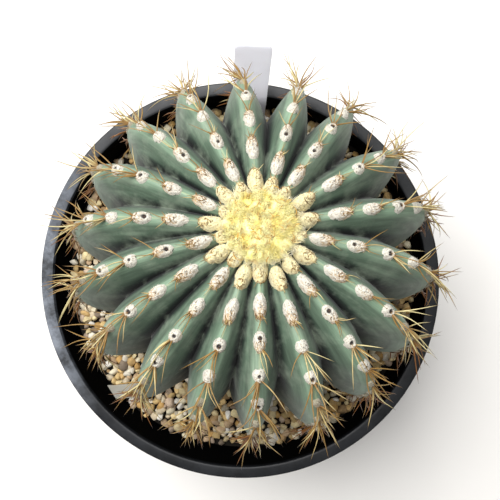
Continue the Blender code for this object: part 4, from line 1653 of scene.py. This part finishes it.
@dataclass
class NurseryPot:
    """The black pot, turned from one profile, with drain holes bored in its floor."""

    shape: PotShape
    sides: int = 144
    drains: int = 6
    drain_radius: float = 5.0
    drain_circle: float = 46.0
    drain_sides: int = 24
    drill_span: tuple = (-4.0, 8.0)
    sharp_degrees: float = 35.0

    def profile(self) -> list[tuple[float, float]]:
        """Draw the outline up the outside from the base, over the lip and down the inside.

        Returns:
            Radius and height of each point.
        """
        s = self.shape
        collar_base = s.height - s.collar_depth
        wall_top = s.rim_radius - s.collar_step
        lip_inner = s.rim_radius - s.lip_width
        outline = [(s.base_radius - 4.0, 0.0)]
        outline += self.arc(s.base_radius - 3.6, 3.6, 3.6, -80.0, -8.0, 5)
        outline += [(wall_top - 1.6 - 0.18 * k, collar_base - 1.5 - 1.2 * k) for k in (3, 2, 1, 0)]
        outline += self.arc(s.rim_radius - 2.3, collar_base + 0.9, 0.9, -90.0, -15.0, 4)
        outline.append((s.rim_radius - 1.05, collar_base + 4.0))
        outline += [(s.rim_radius - 0.12, s.height - 3.4), (s.rim_radius, s.height - 2.6)]
        outline += self.arc(s.rim_radius - 0.8, s.height - 0.8, 0.8, 0.0, 90.0, 6)
        outline += [(lip_inner + 0.9, s.height - 0.05), (lip_inner + 0.25, s.height - 0.1)]
        outline += self.arc(lip_inner + 0.1 - 0.45, s.height - 0.75, 0.55, 70.0, 10.0, 4)
        outline.append((lip_inner - s.bevel + 0.6, s.height - s.bevel - 0.3))
        outline.append((lip_inner - s.bevel, s.height - s.bevel - 0.9))
        outline += [(s.inner_radius(z), z) for z in (s.height - 6.0, s.soil_level, 60.0, s.floor + 4.0)]
        outline += [(s.inner_radius(s.floor) - 1.0, s.floor + 1.0), (s.inner_radius(s.floor) - 3.0, s.floor)]
        return outline

    @staticmethod
    def arc(x: float, z: float, radius: float, start: float, end: float, count: int) -> list:
        """Return points on a circular arc in the profile's plane, angles in degrees."""
        turns = [math.radians(start + (end - start) * k / (count - 1)) for k in range(count)]
        return [(x + radius * math.cos(a), z + radius * math.sin(a)) for a in turns]

    def build(self) -> bpy.types.Object:
        """Build the pot and bore its drain holes.

        Returns:
            The pot.
        """
        turn = ring(self.sides)
        rows = [circle(turn, radius, height) for radius, height in self.profile()]
        faces = grid_faces(len(rows), self.sides)
        last = (len(rows) - 1) * self.sides
        faces.append(tuple(reversed(range(self.sides))))
        faces.append(tuple(range(last, last + self.sides)))
        parts = MeshParts()
        parts.add(np.concatenate(rows), faces)
        pot = parts.build("nursery_pot", self.sharp_degrees)
        drill = self.drills()
        cut = pot.modifiers.new("drains", "BOOLEAN")
        cut.operation = "DIFFERENCE"
        cut.object = drill
        graph = bpy.context.evaluated_depsgraph_get()
        baked = bpy.data.meshes.new_from_object(pot.evaluated_get(graph))
        pot.modifiers.clear()
        pot.data = baked
        pot.data.set_sharp_from_angle(angle=math.radians(self.sharp_degrees))
        bpy.data.objects.remove(drill, do_unlink=True)
        return pot

    def drills(self) -> bpy.types.Object:
        """Build the rods that bore the drain holes.

        Returns:
            All rods as one mesh.
        """
        drills = MeshParts()
        count = self.drain_sides
        rim = ring(count)
        faces = grid_faces(2, count) + [tuple(reversed(range(count))), tuple(range(count, 2 * count))]
        for k in range(self.drains):
            heading = FULL_TURN * (k + 0.5) / self.drains
            middle = (self.drain_circle * math.cos(heading), self.drain_circle * math.sin(heading))
            ends = [circle(rim, self.drain_radius, height, middle) for height in self.drill_span]
            drills.add(np.concatenate(ends), faces)
        return drills.build("drain_drill")


@dataclass
class PlantLabels:
    """Where the standing label is, in millimetres; both labels keep their solids."""

    width: float = 15.0
    entry: tuple = (4.1, 76.4, 130.0)
    run: tuple = (5.1, 18.9, 44.0)
    above: float = 64.0

    def box(self) -> tuple:
        """Work out the space that the standing label takes.

        Returns:
            Its origin, its axes as columns, its half width and its top.
        """
        up = Vector(self.run).normalized()
        through = up.cross(Vector((1.0, 0.0, 0.0))).normalized()
        across = through.cross(up)
        axes = np.array([tuple(across), tuple(through), tuple(up)]).T
        return np.array(self.entry), axes, self.width / 2.0, self.above + 0.6


@dataclass
class Studio:
    """Floor, daylight and the photograph's camera, in metres and watts."""

    camera_place: tuple = (0.0327, 0.0537, 0.5083)
    camera_aim: tuple = (-0.0725, -0.1017, -0.9922)
    focal_pixels: float = 800.0
    frame_pixels: float = 500.0
    sensor_mm: float = 36.0
    table_half_mm: float = 1500.0
    sky: str = "#fbfcff"
    sky_front: float = 0.14
    sky_back: float = 0.34
    window_place: tuple = (-0.38, 0.7, 1.6)
    window_aim: tuple = (0.0, 0.0, 0.15)
    window_size: float = 1.25
    window_power: float = 52.0

    def build(self) -> None:
        """Build everything that isn't part of the object."""
        self.add_floor()
        self.add_world()
        self.add_window()
        self.add_camera()
        bpy.context.scene.view_settings.view_transform = "Standard"

    def add_floor(self) -> None:
        """Add the pale table top."""
        parts = MeshParts()
        corners = [(-1.0, -1.0, 0.0), (1.0, -1.0, 0.0), (1.0, 1.0, 0.0), (-1.0, 1.0, 0.0)]
        parts.add(self.table_half_mm * np.array(corners), [(0, 1, 2, 3)])
        floor = parts.build("table_top")
        put_on(floor, PaleTableFinish().make())

    def add_world(self) -> None:
        """Add daylight from all round, stronger from behind the plant than from the front."""
        world = bpy.data.worlds.new("daylight")
        world.use_nodes = True
        tree = world.node_tree
        background = tree.nodes["Background"]
        background.inputs["Color"].default_value = linear(self.sky)
        direction = add_node(tree, "ShaderNodeTexCoord")
        axes = add_node(tree, "ShaderNodeSeparateXYZ", {}, {"Vector": direction.outputs["Generated"]})
        span = {"From Min": -1.0, "From Max": 1.0, "To Min": self.sky_front, "To Max": self.sky_back}
        strength = add_node(tree, "ShaderNodeMapRange", span, {"Value": axes.outputs["Y"]})
        tree.links.new(strength.outputs["Result"], background.inputs["Strength"])
        bpy.context.scene.world = world

    def add_window(self) -> None:
        """Add a large soft area light that faces the plant, as a window would."""
        lamp = bpy.data.lights.new("window_light", "AREA")
        lamp.shape = "SQUARE"
        lamp.size = self.window_size
        lamp.energy = self.window_power
        item = bpy.data.objects.new("window_light", lamp)
        item.location = self.window_place
        away = Vector(self.window_place) - Vector(self.window_aim)
        item.rotation_mode = "QUATERNION"
        item.rotation_quaternion = away.to_track_quat("Z", "Y")
        bpy.context.scene.collection.objects.link(item)

    def add_camera(self) -> None:
        """Add the camera that looks down on the plant, level with the frame's X axis."""
        camera = bpy.data.cameras.new("overhead_camera")
        camera.sensor_width = self.sensor_mm
        camera.lens = self.focal_pixels / self.frame_pixels * self.sensor_mm
        item = bpy.data.objects.new("overhead_camera", camera)
        aim = Vector(self.camera_aim).normalized()
        right = aim.cross(Vector((0.0, 1.0, 0.0))).normalized()
        up = right.cross(aim)
        pose = Matrix((right, up, -aim)).transposed().to_4x4()
        pose.translation = self.camera_place
        item.matrix_world = pose
        bpy.context.scene.collection.objects.link(item)
        bpy.context.scene.camera = item


def report(piece: bpy.types.Object) -> None:
    """Log a dressed piece's name and face count."""
    LOG.info("%s: %d faces", piece.name, len(piece.data.polygons))


def take_over(pieces: list[bpy.types.Object], material: bpy.types.Material, node: str) -> None:
    """Dress pieces, tie them to the part and let them stand for a node.

    Args:
        pieces: The pieces.
        material: Their material.
        node: The node that the pieces replace.
    """
    for piece in pieces:
        put_on(piece, material)
        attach(piece, ROOT)
        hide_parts(node)
        report(piece)


def main() -> None:
    """Build the potted plant's looks."""
    logging.basicConfig(level=logging.INFO, format="%(message)s")
    form = BarrelForm()
    pot = PotShape()
    labels = PlantLabels()
    skin, felt, plant = "cactus_skin", "crown_felt", "cactus_body"
    take_over([RibbedSkin(form).build()], WaxySkinFinish().make(), plant)
    take_over(FeltAreoles(form).build(), PlantFeltFinish("areole_felt").make(), plant)
    take_over([Spines(form, pot, labels.box()).build()], SpineFinish().make(), plant)
    take_over(CrownFelt(form).build(), PlantFeltFinish(felt, speck_start=0.9).make(), "crown_wool")
    take_over(GravelFill(form, pot).build(), GritFinish().make(), "soil")
    take_over([NurseryPot(pot).build()], PolypropyleneFinish().make(), "pot")
    finishes = {
        "label_stake": LabelPlasticFinish("clean_label"),
        "label_scrap": LabelPlasticFinish("weathered_label", "#dcdbd4", dust_share=0.45),
    }
    for node, finish in finishes.items():
        put_on(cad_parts[node], finish.make())
        report(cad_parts[node])
    Studio().build()


if __name__ == "__main__":
    main()
